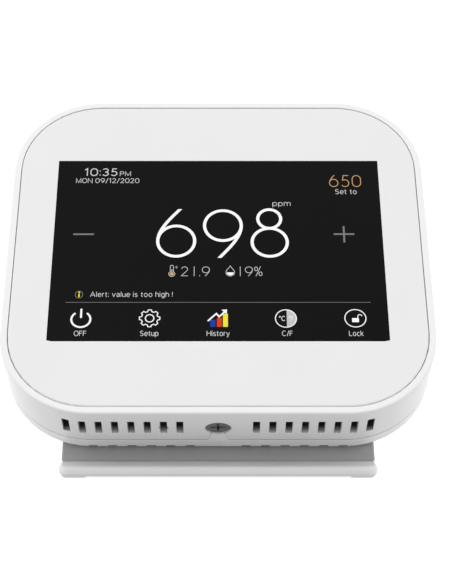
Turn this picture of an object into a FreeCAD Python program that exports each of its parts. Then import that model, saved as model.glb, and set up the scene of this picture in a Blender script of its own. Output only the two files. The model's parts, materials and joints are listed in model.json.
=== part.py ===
# Desktop air quality monitor: a touch-screen head that leans back on a folding stand.
# Lengths are millimetres.  The head is drawn upright in its own frame: X to the right,
# Y from the front face towards the back, Z up the face, origin in the middle of the
# front face.  It is then leaned back and set over the stand's base.  The part's own
# frame has +Z up, its front towards -Y, and its origin on the desk under the middle of
# the whole outline.
import FreeCAD, Part
import math
import os

Vector = FreeCAD.Vector

# ---- driving dimensions of the head -------------------------------------------------
LEAN = 37.0                   # how far the face leans back from upright, degrees
SCREEN_WIDTH = 84.0
SCREEN_HEIGHT = 55.0
FACE_WIDTH = 103.3
FACE_HEIGHT = 90.7
FACE_RADIUS = 20.4
RIM = 1.95                    # from the front panel's edge to the outer side
HEAD_DEPTH = 19.1
SEAM_DEPTH = 13.9             # parting line between the housing and the back cover
SEAM_GAP = 0.2
WALL = 2.0
BACK_WALL = 1.8
FRONT_ROUNDING = 0.5
BACK_ROUNDING = 2.0
OUTER_WIDTH = FACE_WIDTH + 2 * RIM
OUTER_HEIGHT = FACE_HEIGHT + 2 * RIM
OUTER_RADIUS = FACE_RADIUS + RIM
BOTTOM = -OUTER_HEIGHT / 2    # the outer bottom side, in the head's frame

PANEL_THICKNESS = 1.6
PANEL_GAP = 0.15              # shadow line round the front panel
PANEL_ROUNDING = 0.45
LEDGE_WIDTH = 2.5
LEDGE_THICKNESS = 1.4
COVER_STEP = 0.7              # the step that fills the seam is set in this far
COVER_STEP_OVERLAP = 1.0
LIP_LENGTH = 1.3              # the cover's lip reaches this far into the housing
LIP_GAP = 0.05
COVER_INNER_MARGIN = 1.0      # the cover is this much thicker than the wall at its sides
BOARD_BOSS_X = 38.0
BOARD_BOSS_Z = 36.5
BOARD_BOSS_RADIUS = 2.6
BOSS_HOLE_SPARE = 0.6         # the bosses' holes run this far past the screws' ends
OVERCUT = 1.0                 # how far a cutter runs past the surface that it opens

# ---- display stack, from the front --------------------------------------------------
GLASS_FRONT = 0.08
GLASS_GAP = 0.1
GLASS_BACK = 2.2
CELL_FRONT = 2.4
CELL_BACK = 4.0
BACKLIGHT_BACK = 5.6
TRAY_BACK = 5.9
CELL_WIDTH = 91.0
CELL_HEIGHT = 60.4
TRAY_WIDTH = 93.0
TRAY_HEIGHT = 62.4
TRAY_WALL = 0.4
TRAY_MOUTH_MARGIN = 0.5       # the tray's mouth is this much wider than the ribbon
FILM_MARGIN = 0.5             # the adhesive film stops this far inside the window
GASKET_MARGIN = 0.3           # the foam frame's opening is this much larger than it

# ---- vents and case screw -----------------------------------------------------------
VENT_COUNT = 8                # on each side of the middle
VENT_START = 9.25
VENT_PITCH = 3.93
VENT_WIDTH = 1.73
VENT_FRONT = 4.4
VENT_BACK = 10.45
VENT_WALL = 3.0               # the bottom wall is thicker round the vents
RESET_VENT = 1                # the pinhole widens this vent, counted from the middle
RESET_HOLE_RADIUS = 1.25
RESET_DEPTH = 7.75
REAR_VENT_COUNT = 6
REAR_VENT_START = 6.9
REAR_VENT_PITCH = 4.8
REAR_VENT_WIDTH = 2.2
REAR_VENT_FRONT = 17.1
REAR_VENT_TOP = -38.0
SCREW_DEPTH = 8.1
SCREW_HEAD_RADIUS = 3.1
SCREW_HEAD_HEIGHT = 1.2
SCREW_SINK = 0.45             # the head's face sits this far inside the bottom side
SCREW_RADIUS = 1.5
TAB_WIDTH_AT_SEAM = 4.75
TAB_TAPER = 0.536             # how much the tab narrows per millimetre towards the screw
TAB_GAP = 0.12
EYE_RADIUS = 3.0
EYE_THICKNESS = 1.0
INSERT_RADIUS = 2.1
INSERT_LENGTH = 4.0
CASE_BOSS_RADIUS = 4.4
CASE_BOSS_LENGTH = 6.1
SCREW_TIP_ROOM = 1.0
BOSS_CLEARANCE = 1.0          # between the boss and the main board's notch
CASE_HEAD_ROUNDING = 0.42
CASE_RECESS = (3.6, 1.4)      # size across and depth of the cross recess
RECESS_ARM = 0.15             # width of a recess's arm, as a share of its size
RECESS_PIT = (0.16, 0.08)     # radii of its centre pit at the top and the bottom
RECESS_ARM_DEPTH = 0.7        # depth of its arms, as a share of its depth

# ---- electronics --------------------------------------------------------------------
BOARD_FRONT = 10.0
BOARD_BACK = 11.6
BOARD_WIDTH = 98.0
BOARD_HEIGHT = 84.0
BOARD_RADIUS = 18.0
BOARD_SCREW_RADIUS = 1.0
BOARD_SCREW_HEAD_RADIUS = 2.1
BOARD_SCREW_LENGTH = 6.0
BOARD_SCREW_HEAD_HEIGHT = 1.3
BOARD_SCREW_ROUNDING = 0.5
BOARD_SCREW_CLEARANCE = 0.2
BOARD_RECESS = (2.4, 0.9)
SWITCH_WIDTH = 6.0
SWITCH_HEIGHT = 3.5
SWITCH_LENGTH = 3.6
SWITCH_BORE = 2.2
BUTTON_RADIUS = 0.9
BUTTON_CLEARANCE = 0.05
BUTTON_TRAVEL = 0.3
BUTTON_END_GAP = 0.1          # room left behind the plunger when it is pressed
BUTTON_TIP = -43.5
BUTTON_ROUNDING = 0.25
SENSOR_LEFT = 12.0
SENSOR_WIDTH = 20.0
SENSOR_BOTTOM = -40.0
SENSOR_HEIGHT = 33.0
SENSOR_FRONT = 7.4
SENSOR_BOARD = 1.0
SENSOR_CAN_DEPTH = 6.5
SENSOR_MARGIN = 2.0
SENSOR_CAN_GAP = 0.6
SENSOR_CAN_ROUNDING = 1.0
FILTER_WIDTH = 6.0
FILTER_HEIGHT = 18.0
FILTER_THICKNESS = 0.3
USB_Z = -8.0
USB_WIDTH = 8.94
USB_THICKNESS = 3.2
USB_LENGTH = 7.3
USB_RECESS = 0.8
USB_MOUTH_GAP = 0.3
USB_SHELL = 0.3
USB_BACK_WALL = 1.0
TONGUE_RECESS = 0.6
TONGUE_THICKNESS = 0.7
TONGUE_WIDTH = 6.2
COIN_X = 14.0
COIN_Z = 22.0
COIN_RADIUS = 6.25
COIN_THICKNESS = 2.0
COIN_ROUNDING = 0.25
COIN_CLEARANCE = 0.1
HOLDER_WALL = 1.1
HOLDER_FLOOR = 0.6
HOLDER_DROP = 0.4             # the holder's rim is this much lower than the battery
STRAP_WIDTH = 4.0
STRAP_THICKNESS = 0.3
STRAP_CLEARANCE = 0.3
RIBBON_WIDTH = 24.0
RIBBON_THICKNESS = 0.2
RIBBON_DEPTH = 3.1
RIBBON_TURN_Z = 34.0
RIBBON_BEND = 1.5
CONNECTOR_DEPTH = 1.7
CONNECTOR_HEIGHT = 4.4
CONNECTOR_MARGIN = 1.5
PROCESSOR_PLACE = (-14.0, 10.0)        # middle across and up the board
PROCESSOR_SIZE = (12.0, 12.0, 1.4)     # width, height and thickness
MEMORY_PLACE = (-14.0, -4.0)
MEMORY_SIZE = (6.0, 5.0, 1.2)
INDUCTOR_PLACE = (40.0, -12.0)
INDUCTOR_SIZE = (6.0, 6.0, 3.0)
BUZZER_PLACE = (-30.0, -28.0)
BUZZER_SIZE = (9.0, 9.0, 4.0)
BUZZER_HOLE_RADIUS = 1.2
BUZZER_HOLE_DEPTH = 1.5
HUMIDITY_PLACE = (-30.0, -39.5)
HUMIDITY_WIDTH = 3.0
HUMIDITY_THICKNESS = 1.0
CAPACITOR_X = 41.0
CAPACITOR_ROWS = (-2.0, 5.0, 12.0)
CAPACITOR_RADIUS = 2.5
CAPACITOR_HEIGHT = 4.8
CAPACITOR_ROUNDING = 0.4

# ---- stand --------------------------------------------------------------------------
PLATE_WIDTH = 77.5
PLATE_THICKNESS = 2.5
PLATE_TOP = 14.0
PLATE_OVERHANG = 3.35         # the plate reaches this far below the head's bottom side
PLATE_ROUNDING = 0.6
PLATE_CORNER = 8.0
STAND_SCREW_X = 33.0
STAND_SCREW_ROWS = (-14.0, 8.0)
STAND_SCREW_HEAD_RADIUS = 2.9
STAND_SCREW_CONE = 1.5
STAND_SCREW_CLEARANCE = 0.1
STAND_SCREW_TIP_ROOM = 0.3
STAND_RECESS = (3.4, 1.3)
STAND_BOSS_RADIUS = 3.2
STAND_BOSS_START = 14.8
PLATE_LOWER_CORNER = 1.0      # only on the blank, below where its end is cut off
BASE_WIDTH = 77.9
BASE_THICKNESS = 2.5
BASE_DEPTH = 60.0
BASE_LIP = 7.0                # the base reaches this far in front of the plate
BASE_ROUNDING = 1.0
BASE_FRONT_CORNER = 3.0
BASE_BACK_CORNER = 8.0
PLATE_TO_BASE_GAP = 0.08
HINGE_X = 25.0
HINGE_BEHIND_PLATE = 3.3
HINGE_ABOVE_BASE = 3.6
KNUCKLE_RADIUS = 2.9
KNUCKLE_WIDTH = 8.0
KNUCKLE_WEB = 9.0
EAR_THICKNESS = 3.0
EAR_TAIL = 7.0
WASHER_THICKNESS = 0.4
WASHER_GAP = 0.05
WASHER_RADIUS = 2.6
PIN_RADIUS = 1.25
PIN_CLEARANCE = 0.05
FOOT_WIDTH = 6.5
FOOT_LENGTH = 12.0
FOOT_INSET = 0.8
FOOT_RECESS = 0.5
FOOT_HEIGHT = 0.45
FOOT_OUTER_SLOPE = 0.6        # how far the foot's ends slope in below the base
FOOT_INNER_SLOPE = 1.0
FOOT_SETBACK = 1.5            # from the base's front edge to the front feet

# ---- places worked out from the dimensions ------------------------------------------
CREASE = BOTTOM - PLATE_OVERHANG
PLATE_BACK = HEAD_DEPTH + PLATE_THICKNESS
BOSS_END = BOTTOM + SCREW_SINK + SCREW_HEAD_HEIGHT + EYE_THICKNESS


def leaned(depth, height):
    """Fore-aft and up position of a point of the head once it leans back."""
    lean = math.radians(LEAN)
    back = depth * math.cos(lean) + height * math.sin(lean)
    up = height * math.cos(lean) - depth * math.sin(lean)
    return back, up


def height_at_level(depth, level):
    """Height in the head's frame of the point at a depth that lies at a world level."""
    lean = math.radians(LEAN)
    return (level + depth * math.sin(lean)) / math.cos(lean)


CREASE_BACK, BASE_TOP = leaned(HEAD_DEPTH, CREASE)
BASE_FRONT = CREASE_BACK - BASE_LIP
BASE_BOTTOM = BASE_TOP - BASE_THICKNESS
HINGE_LEVEL = BASE_TOP + HINGE_ABOVE_BASE
HINGE_DEPTH = PLATE_BACK + HINGE_BEHIND_PLATE
HINGE_HEIGHT = height_at_level(HINGE_DEPTH, HINGE_LEVEL)
HINGE_BACK = leaned(HINGE_DEPTH, HINGE_HEIGHT)[0]


# ---- shape helpers ------------------------------------------------------------------
def box(x_span, y_span, z_span):
    """Box between the given pairs of limits."""
    corner = Vector(x_span[0], y_span[0], z_span[0])
    size = [span[1] - span[0] for span in (x_span, y_span, z_span)]
    return Part.makeBox(size[0], size[1], size[2], corner)


def around(middle, width):
    """Pair of limits of the given width round a middle."""
    return middle - width / 2, middle + width / 2


def rod(radius, start, end):
    """Cylinder between two points."""
    axis = end - start
    return Part.makeCylinder(radius, axis.Length, start, axis)


def cone(start_radius, end_radius, start, end):
    """Cone between two points."""
    axis = end - start
    return Part.makeCone(start_radius, end_radius, axis.Length, start, axis)


def rounded_outline(width, height, radii, depth):
    """Rounded rectangle in the plane y = depth, its four radii from the upper right on."""
    corners = []
    signs = ((1, 1), (-1, 1), (-1, -1), (1, -1))
    for quarter, (right, up) in enumerate(signs):
        radius = radii[quarter]
        middle = Vector(right * (width / 2 - radius), depth, up * (height / 2 - radius))
        turns = [math.radians(90 * quarter + part) for part in (0, 45, 90)]
        points = [middle + Vector(math.cos(turn), 0, math.sin(turn)) * radius for turn in turns]
        corners.append(points)
    edges = []
    for index, points in enumerate(corners):
        edges.append(Part.Arc(points[0], points[1], points[2]).toShape())
        following = corners[(index + 1) % len(corners)][0]
        edges.append(Part.LineSegment(points[2], following).toShape())
    return Part.Wire(edges)


def rounded_plate(width, height, radius, y_span):
    """Plate with four equal rounded corners, between two depths."""
    outline = rounded_outline(width, height, [radius] * 4, y_span[0])
    return Part.Face(outline).extrude(Vector(0, y_span[1] - y_span[0], 0))


def inset_plate(inset, y_span):
    """Plate of the head's outline, set in by the same distance all round."""
    return rounded_plate(OUTER_WIDTH - 2 * inset, OUTER_HEIGHT - 2 * inset, OUTER_RADIUS - inset, y_span)


def sheet_plate(width, height, y_span):
    """Square-cornered plate round the face's middle."""
    return box(around(0, width), y_span, around(0, height))


def fillet_level(shape, radius, axis, level):
    """Round every edge that lies in one plane across the given axis."""
    chosen = []
    for edge in shape.Edges:
        limits = edge.BoundBox
        low = getattr(limits, axis + "Min")
        high = getattr(limits, axis + "Max")
        if abs(low - level) < 1e-4 and abs(high - level) < 1e-4:
            chosen.append(edge)
    return shape.makeFillet(radius, chosen)


def prism_along_x(points, x_span):
    """Straight-sided outline of (y, z) points, extruded along X."""
    corners = [Vector(x_span[0], y, z) for y, z in points]
    outline = Part.makePolygon(corners + corners[:1])
    return Part.Face(outline).extrude(Vector(x_span[1] - x_span[0], 0, 0))


def prism_along_z(points, z_span):
    """Straight-sided outline of (x, y) points, extruded along Z."""
    corners = [Vector(x, y, z_span[0]) for x, y in points]
    outline = Part.makePolygon(corners + corners[:1])
    return Part.Face(outline).extrude(Vector(0, 0, z_span[1] - z_span[0]))


def group(shapes):
    """Separate identical solids held in one node."""
    return Part.makeCompound(shapes)


def cross_recess(top, inward, recess):
    """Cutter for a cross-head recess of the given size and depth: two slots and a centre pit."""
    size, depth = recess
    turn = FreeCAD.Rotation(Vector(0, 0, -1), inward)
    cutter = cone(size * RECESS_PIT[0], size * RECESS_PIT[1], Vector(0, 0, 0), Vector(0, 0, -depth))
    for angle in (0, 90):
        slot = box(around(0, size), around(0, size * RECESS_ARM), (-depth * RECESS_ARM_DEPTH, 0))
        slot.rotate(Vector(0, 0, 0), Vector(0, 0, 1), angle)
        cutter = cutter.fuse(slot)
    cutter.Placement = FreeCAD.Placement(top, turn)
    return cutter


# ---- housing and covers -------------------------------------------------------------
def vent_positions(start, pitch, count):
    """Middles of a row of vents that is mirrored about the centre line."""
    right = [start + pitch * index for index in range(count)]
    return [-x for x in reversed(right)] + right


def tab_width(depth):
    """Width of the back cover's tab, which narrows towards the screw."""
    return TAB_WIDTH_AT_SEAM - TAB_TAPER * (SEAM_DEPTH - depth)


def tab_outline(front, back, extra):
    """Plan outline of the tab in (x, y), grown by extra on both flanks."""
    near = tab_width(front) / 2 + extra
    far = tab_width(back) / 2 + extra
    return [(-near, front), (near, front), (far, back), (-far, back)]


def screw_axis(z_span, radius):
    """Cylinder on the case screw's axis between two heights."""
    start = Vector(0, SCREW_DEPTH, z_span[0])
    return rod(radius, start, Vector(0, SCREW_DEPTH, z_span[1]))


def board_boss_places():
    """Middles of the four bosses and screws that carry the main board."""
    return [(x, z) for x in (-BOARD_BOSS_X, BOARD_BOSS_X) for z in (-BOARD_BOSS_Z, BOARD_BOSS_Z)]


def stand_screw_places():
    """Middles of the four screws between the back cover and the stand plate."""
    return [(x, z) for x in (-STAND_SCREW_X, STAND_SCREW_X) for z in STAND_SCREW_ROWS]


def front_panel():
    """White face plate with the screen's window and four board bosses behind it."""
    panel = rounded_plate(FACE_WIDTH, FACE_HEIGHT, FACE_RADIUS, (0, PANEL_THICKNESS))
    panel = fillet_level(panel, PANEL_ROUNDING, "Y", 0)
    through = (-OVERCUT, PANEL_THICKNESS + OVERCUT)
    panel = panel.cut(sheet_plate(SCREEN_WIDTH, SCREEN_HEIGHT, through))
    for x, z in board_boss_places():
        root = Vector(x, PANEL_THICKNESS / 2, z)
        end = Vector(x, BOARD_FRONT, z)
        panel = panel.fuse(rod(BOARD_BOSS_RADIUS, root, end))
        deep = Vector(x, BOARD_BACK - BOARD_SCREW_LENGTH - BOSS_HOLE_SPARE, z)
        panel = panel.cut(rod(BOARD_SCREW_RADIUS, deep, end))
    return panel.removeSplitter()


def housing():
    """Outer shell: rim, ledge for the front panel, side walls and bottom vents."""
    shell = inset_plate(0, (0, SEAM_DEPTH - SEAM_GAP / 2))
    shell = fillet_level(shell, FRONT_ROUNDING, "Y", 0)
    seat_width = FACE_WIDTH + 2 * PANEL_GAP
    seat_height = FACE_HEIGHT + 2 * PANEL_GAP
    seat_span = (-OVERCUT, PANEL_THICKNESS)
    seat = rounded_plate(seat_width, seat_height, FACE_RADIUS + PANEL_GAP, seat_span)
    well = inset_plate(WALL + LEDGE_WIDTH, (0, SEAM_DEPTH))
    ledge_back = PANEL_THICKNESS + LEDGE_THICKNESS
    room = inset_plate(WALL, (ledge_back, SEAM_DEPTH))
    shell = shell.cut(seat).cut(well).cut(room)
    shell = shell.fuse(vent_wall(ledge_back))
    shell = shell.fuse(screw_axis((BOSS_END, BOSS_END + CASE_BOSS_LENGTH), CASE_BOSS_RADIUS))
    return shell.cut(case_screw_cutter()).cut(bottom_vents()).cut(usb_window()).removeSplitter()


def vent_wall(front):
    """Thickening inside the bottom wall, which the vents pass through."""
    half = VENT_START + VENT_PITCH * (VENT_COUNT - 1) + 2 * VENT_WIDTH
    slab = box((-half, half), (front, SEAM_DEPTH - WALL), (BOTTOM + WALL / 2, BOTTOM + VENT_WALL))
    return slab.common(inset_plate(WALL / 2, (front, SEAM_DEPTH)))


def case_screw_cutter():
    """Space for the screw head, the back cover's eye and tab, and the threaded insert."""
    head_seat = BOTTOM + SCREW_SINK + SCREW_HEAD_HEIGHT
    cutter = screw_axis((BOTTOM - OVERCUT, head_seat), SCREW_HEAD_RADIUS + TAB_GAP)
    cutter = cutter.fuse(screw_axis((head_seat, BOSS_END), EYE_RADIUS + TAB_GAP))
    cutter = cutter.fuse(screw_axis((BOSS_END, BOSS_END + INSERT_LENGTH), INSERT_RADIUS))
    deep_end = BOSS_END + CASE_BOSS_LENGTH - SCREW_TIP_ROOM
    cutter = cutter.fuse(screw_axis((BOSS_END, deep_end), SCREW_RADIUS + TAB_GAP))
    outline = tab_outline(SCREW_DEPTH, SEAM_DEPTH, TAB_GAP)
    return cutter.fuse(prism_along_z(outline, (BOTTOM - OVERCUT, BOSS_END)))


def bottom_vents():
    """Cutter for the row of vents in the bottom wall and the reset pinhole."""
    z_span = (BOTTOM - OVERCUT, BOTTOM + VENT_WALL + OVERCUT)
    slots = []
    for x in vent_positions(VENT_START, VENT_PITCH, VENT_COUNT):
        slots.append(box(around(x, VENT_WIDTH), (VENT_FRONT, VENT_BACK), z_span))
    start, end = [Vector(reset_x(), RESET_DEPTH, z) for z in z_span]
    return slots[0].fuse(slots[1:] + [rod(RESET_HOLE_RADIUS, start, end)])


def reset_x():
    """Middle of the vent that the reset pinhole widens."""
    return -(VENT_START + VENT_PITCH * RESET_VENT)


def usb_window():
    """Rounded opening in the right-hand wall for the power plug."""
    y_span = around(BOARD_FRONT - USB_THICKNESS / 2, USB_THICKNESS + 2 * USB_MOUTH_GAP)
    outer = OUTER_WIDTH / 2
    x_span = (outer - WALL - OVERCUT, outer + OVERCUT)
    return stadium(x_span, y_span, USB_Z, USB_WIDTH + 2 * USB_MOUTH_GAP)


def stadium(x_span, y_span, z_middle, length):
    """Slot-shaped bar along X with half-round ends."""
    radius = (y_span[1] - y_span[0]) / 2
    middle = (y_span[0] + y_span[1]) / 2
    straight = length / 2 - radius
    shape = box(x_span, y_span, (z_middle - straight, z_middle + straight))
    for end in (-straight, straight):
        start = Vector(x_span[0], middle, z_middle + end)
        shape = shape.fuse(rod(radius, start, Vector(x_span[1], middle, z_middle + end)))
    return shape.removeSplitter()


def back_cover():
    """Rear tray with its seam step, lip, screw tab, rear vents and stand bosses."""
    seat = SEAM_DEPTH - SEAM_GAP / 2
    outer_front = SEAM_DEPTH + SEAM_GAP / 2
    cover = inset_plate(0, (outer_front, HEAD_DEPTH))
    cover = fillet_level(cover, BACK_ROUNDING, "Y", HEAD_DEPTH)
    cover = cover.fuse(inset_plate(COVER_STEP, (seat, SEAM_DEPTH + COVER_STEP_OVERLAP)))
    cover = cover.fuse(inset_plate(WALL + LIP_GAP, (seat - LIP_LENGTH, seat + COVER_STEP_OVERLAP)))
    room = inset_plate(WALL + COVER_INNER_MARGIN, (0, HEAD_DEPTH - BACK_WALL))
    cover = cover.cut(room).fuse(screw_tab())
    for x, z in stand_screw_places():
        boss_start = Vector(x, STAND_BOSS_START, z)
        boss_end = Vector(x, HEAD_DEPTH - BACK_WALL / 2, z)
        cover = cover.fuse(rod(STAND_BOSS_RADIUS, boss_start, boss_end))
        hole_start = Vector(x, HEAD_DEPTH - INSERT_LENGTH, z)
        hole_end = Vector(x, HEAD_DEPTH + OVERCUT, z)
        cover = cover.cut(rod(INSERT_RADIUS, hole_start, hole_end))
    return cover.cut(rear_vents()).removeSplitter()


def screw_tab():
    """Tab that reaches forward in the bottom side and ends in an eye under the screw."""
    head_seat = BOTTOM + SCREW_SINK + SCREW_HEAD_HEIGHT
    reach = SEAM_DEPTH + SEAM_GAP
    tab = prism_along_z(tab_outline(SCREW_DEPTH + SCREW_RADIUS, reach, 0), (BOTTOM, BOSS_END))
    tab = tab.cut(screw_axis((BOTTOM - OVERCUT, head_seat), SCREW_HEAD_RADIUS + TAB_GAP))
    tab = tab.fuse(screw_axis((head_seat, BOSS_END), EYE_RADIUS))
    return tab.cut(screw_axis((head_seat - OVERCUT, BOSS_END + OVERCUT), SCREW_RADIUS + TAB_GAP))


def rear_vents():
    """Cutter for the vents that wrap over the lower rear edge."""
    slots = []
    for x in vent_positions(REAR_VENT_START, REAR_VENT_PITCH, REAR_VENT_COUNT):
        y_span = (REAR_VENT_FRONT, HEAD_DEPTH + OVERCUT)
        slots.append(box(around(x, REAR_VENT_WIDTH), y_span, (BOTTOM - OVERCUT, REAR_VENT_TOP)))
    return slots[0].fuse(slots[1:])


def case_screw():
    """Cross-head pan screw that closes the case from below."""
    face = BOTTOM + SCREW_SINK
    seat = face + SCREW_HEAD_HEIGHT
    head = screw_axis((face, seat), SCREW_HEAD_RADIUS)
    head = fillet_level(head, CASE_HEAD_ROUNDING, "Z", face)
    screw = head.fuse(screw_axis((seat, BOSS_END + INSERT_LENGTH), SCREW_RADIUS))
    recess = cross_recess(Vector(0, SCREW_DEPTH, face), Vector(0, 0, 1), CASE_RECESS)
    return screw.cut(recess).removeSplitter()


def case_insert():
    """Threaded brass insert that the case screw bites."""
    sleeve = screw_axis((BOSS_END, BOSS_END + INSERT_LENGTH), INSERT_RADIUS)
    z_span = (BOSS_END - OVERCUT, BOSS_END + INSERT_LENGTH + OVERCUT)
    return sleeve.cut(screw_axis(z_span, SCREW_RADIUS))


# ---- display ------------------------------------------------------------------------
def touch_glass():
    """Black-masked cover glass with the touch layer, level with the front panel."""
    y_span = (GLASS_FRONT, GLASS_BACK)
    return sheet_plate(SCREEN_WIDTH - 2 * GLASS_GAP, SCREEN_HEIGHT - 2 * GLASS_GAP, y_span)


def bonding_film():
    """Clear adhesive between the cover glass and the display cell."""
    y_span = (GLASS_BACK, CELL_FRONT)
    return sheet_plate(SCREEN_WIDTH - 2 * FILM_MARGIN, SCREEN_HEIGHT - 2 * FILM_MARGIN, y_span)


def display_gasket():
    """Foam frame that sticks the display to the back of the front panel."""
    y_span = (PANEL_THICKNESS, CELL_FRONT)
    ring = sheet_plate(CELL_WIDTH, CELL_HEIGHT, y_span)
    opening = (SCREEN_WIDTH + 2 * GASKET_MARGIN, SCREEN_HEIGHT + 2 * GASKET_MARGIN)
    return ring.cut(sheet_plate(opening[0], opening[1], (0, CELL_BACK)))


def display_cell():
    """Liquid-crystal cell."""
    return sheet_plate(CELL_WIDTH, CELL_HEIGHT, (CELL_FRONT, CELL_BACK))


def backlight():
    """Light guide behind the cell."""
    return sheet_plate(CELL_WIDTH, CELL_HEIGHT, (CELL_BACK, BACKLIGHT_BACK))


def display_tray():
    """Folded steel tray that holds the cell and the light guide."""
    tray = sheet_plate(TRAY_WIDTH, TRAY_HEIGHT, (CELL_FRONT, TRAY_BACK))
    pocket = sheet_plate(TRAY_WIDTH - 2 * TRAY_WALL, TRAY_HEIGHT - 2 * TRAY_WALL, (0, BACKLIGHT_BACK))
    x_span = around(0, RIBBON_WIDTH + 2 * TRAY_MOUTH_MARGIN)
    z_span = around(TRAY_HEIGHT / 2, 2 * OVERCUT)
    mouth = box(x_span, (CELL_FRONT - OVERCUT, CELL_BACK), z_span)
    return tray.cut(pocket).cut(mouth)


def display_ribbon():
    """Flat cable from the cell's upper edge, bent back to its connector."""
    x = -RIBBON_WIDTH / 2
    start_z = CELL_HEIGHT / 2
    end_y = BOARD_FRONT - CONNECTOR_DEPTH
    outer = ribbon_bend(x, RIBBON_BEND)
    inner = ribbon_bend(x, RIBBON_BEND - RIBBON_THICKNESS)
    start = Vector(x, outer[0].y, start_z)
    back = Vector(x, inner[0].y, start_z)
    far = [Vector(x, end_y, bend[2].z) for bend in (outer, inner)]
    lines = [(start, outer[0]), (outer[2], far[0]), (far[0], far[1]), (far[1], inner[2]),
             (inner[0], back), (back, start)]
    edges = [Part.LineSegment(*line).toShape() for line in lines]
    edges += [Part.Arc(*bend).toShape() for bend in (outer, inner)]
    outline = Part.Wire(Part.__sortEdges__(edges))
    return Part.Face(outline).extrude(Vector(RIBBON_WIDTH, 0, 0))


def ribbon_bend(x, radius):
    """Start, middle and end of the quarter turn of one side of the flat cable."""
    middle_y = RIBBON_DEPTH + RIBBON_BEND
    middle_z = RIBBON_TURN_Z - RIBBON_BEND
    slant = radius * math.sqrt(0.5)
    return [Vector(x, middle_y - radius, middle_z), Vector(x, middle_y - slant, middle_z + slant),
            Vector(x, middle_y, middle_z + radius)]


def ribbon_connector():
    """Socket on the board that the flat cable plugs into."""
    middle = RIBBON_TURN_Z - RIBBON_THICKNESS / 2
    x_span = around(0, RIBBON_WIDTH + 2 * CONNECTOR_MARGIN)
    return box(x_span, (BOARD_FRONT - CONNECTOR_DEPTH, BOARD_FRONT), around(middle, CONNECTOR_HEIGHT))


# ---- electronics --------------------------------------------------------------------
def on_board_back(place, size):
    """Block soldered to the back of the main board."""
    y_span = (BOARD_BACK, BOARD_BACK + size[2])
    return box(around(place[0], size[0]), y_span, around(place[1], size[1]))


def main_board():
    """Circuit board with notches for the case screw's boss and the gas sensor."""
    board = rounded_plate(BOARD_WIDTH, BOARD_HEIGHT, BOARD_RADIUS, (BOARD_FRONT, BOARD_BACK))
    through = (BOARD_FRONT - OVERCUT, BOARD_BACK + OVERCUT)
    edge = -BOARD_HEIGHT / 2 - OVERCUT
    boss_room = CASE_BOSS_RADIUS + BOSS_CLEARANCE
    boss_top = BOSS_END + CASE_BOSS_LENGTH + BOSS_CLEARANCE
    board = board.cut(box((-boss_room, boss_room), through, (edge, boss_top)))
    right = SENSOR_LEFT + SENSOR_WIDTH - SENSOR_MARGIN
    top = SENSOR_BOTTOM + SENSOR_HEIGHT
    board = board.cut(box((SENSOR_LEFT + SENSOR_MARGIN, right), through, (edge, top)))
    for x, z in board_boss_places():
        start, end = [Vector(x, y, z) for y in through]
        board = board.cut(rod(BOARD_SCREW_RADIUS + BOARD_SCREW_CLEARANCE, start, end))
    return board


def board_screws():
    """Four small screws that hold the board to the front panel's bosses."""
    screws = []
    for x, z in board_boss_places():
        top = Vector(x, BOARD_BACK + BOARD_SCREW_HEAD_HEIGHT, z)
        head = rod(BOARD_SCREW_HEAD_RADIUS, Vector(x, BOARD_BACK, z), top)
        head = fillet_level(head, BOARD_SCREW_ROUNDING, "Y", top.y)
        tip = Vector(x, BOARD_BACK - BOARD_SCREW_LENGTH, z)
        screw = head.fuse(rod(BOARD_SCREW_RADIUS, tip, Vector(x, BOARD_BACK, z)))
        recess = cross_recess(top, Vector(0, -1, 0), BOARD_RECESS)
        screws.append(screw.cut(recess).removeSplitter())
    return group(screws)


def reset_switch():
    """Body of the side-facing push switch on the front of the board."""
    low = -BOARD_HEIGHT / 2
    y_span = (BOARD_FRONT - SWITCH_HEIGHT, BOARD_FRONT)
    body = box(around(reset_x(), SWITCH_WIDTH), y_span, (low, low + SWITCH_LENGTH))
    bore_start = Vector(reset_x(), RESET_DEPTH, low - OVERCUT)
    bore_end = Vector(reset_x(), RESET_DEPTH, low + SWITCH_BORE)
    return body.cut(rod(BUTTON_RADIUS + BUTTON_CLEARANCE, bore_start, bore_end))


def reset_button():
    """Plunger behind the pinhole, pushed up into the switch with a pin."""
    inner_end = -BOARD_HEIGHT / 2 + SWITCH_BORE - BUTTON_TRAVEL - BUTTON_END_GAP
    start, end = [Vector(reset_x(), RESET_DEPTH, z) for z in (BUTTON_TIP, inner_end)]
    return fillet_level(rod(BUTTON_RADIUS, start, end), BUTTON_ROUNDING, "Z", BUTTON_TIP)


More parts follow.
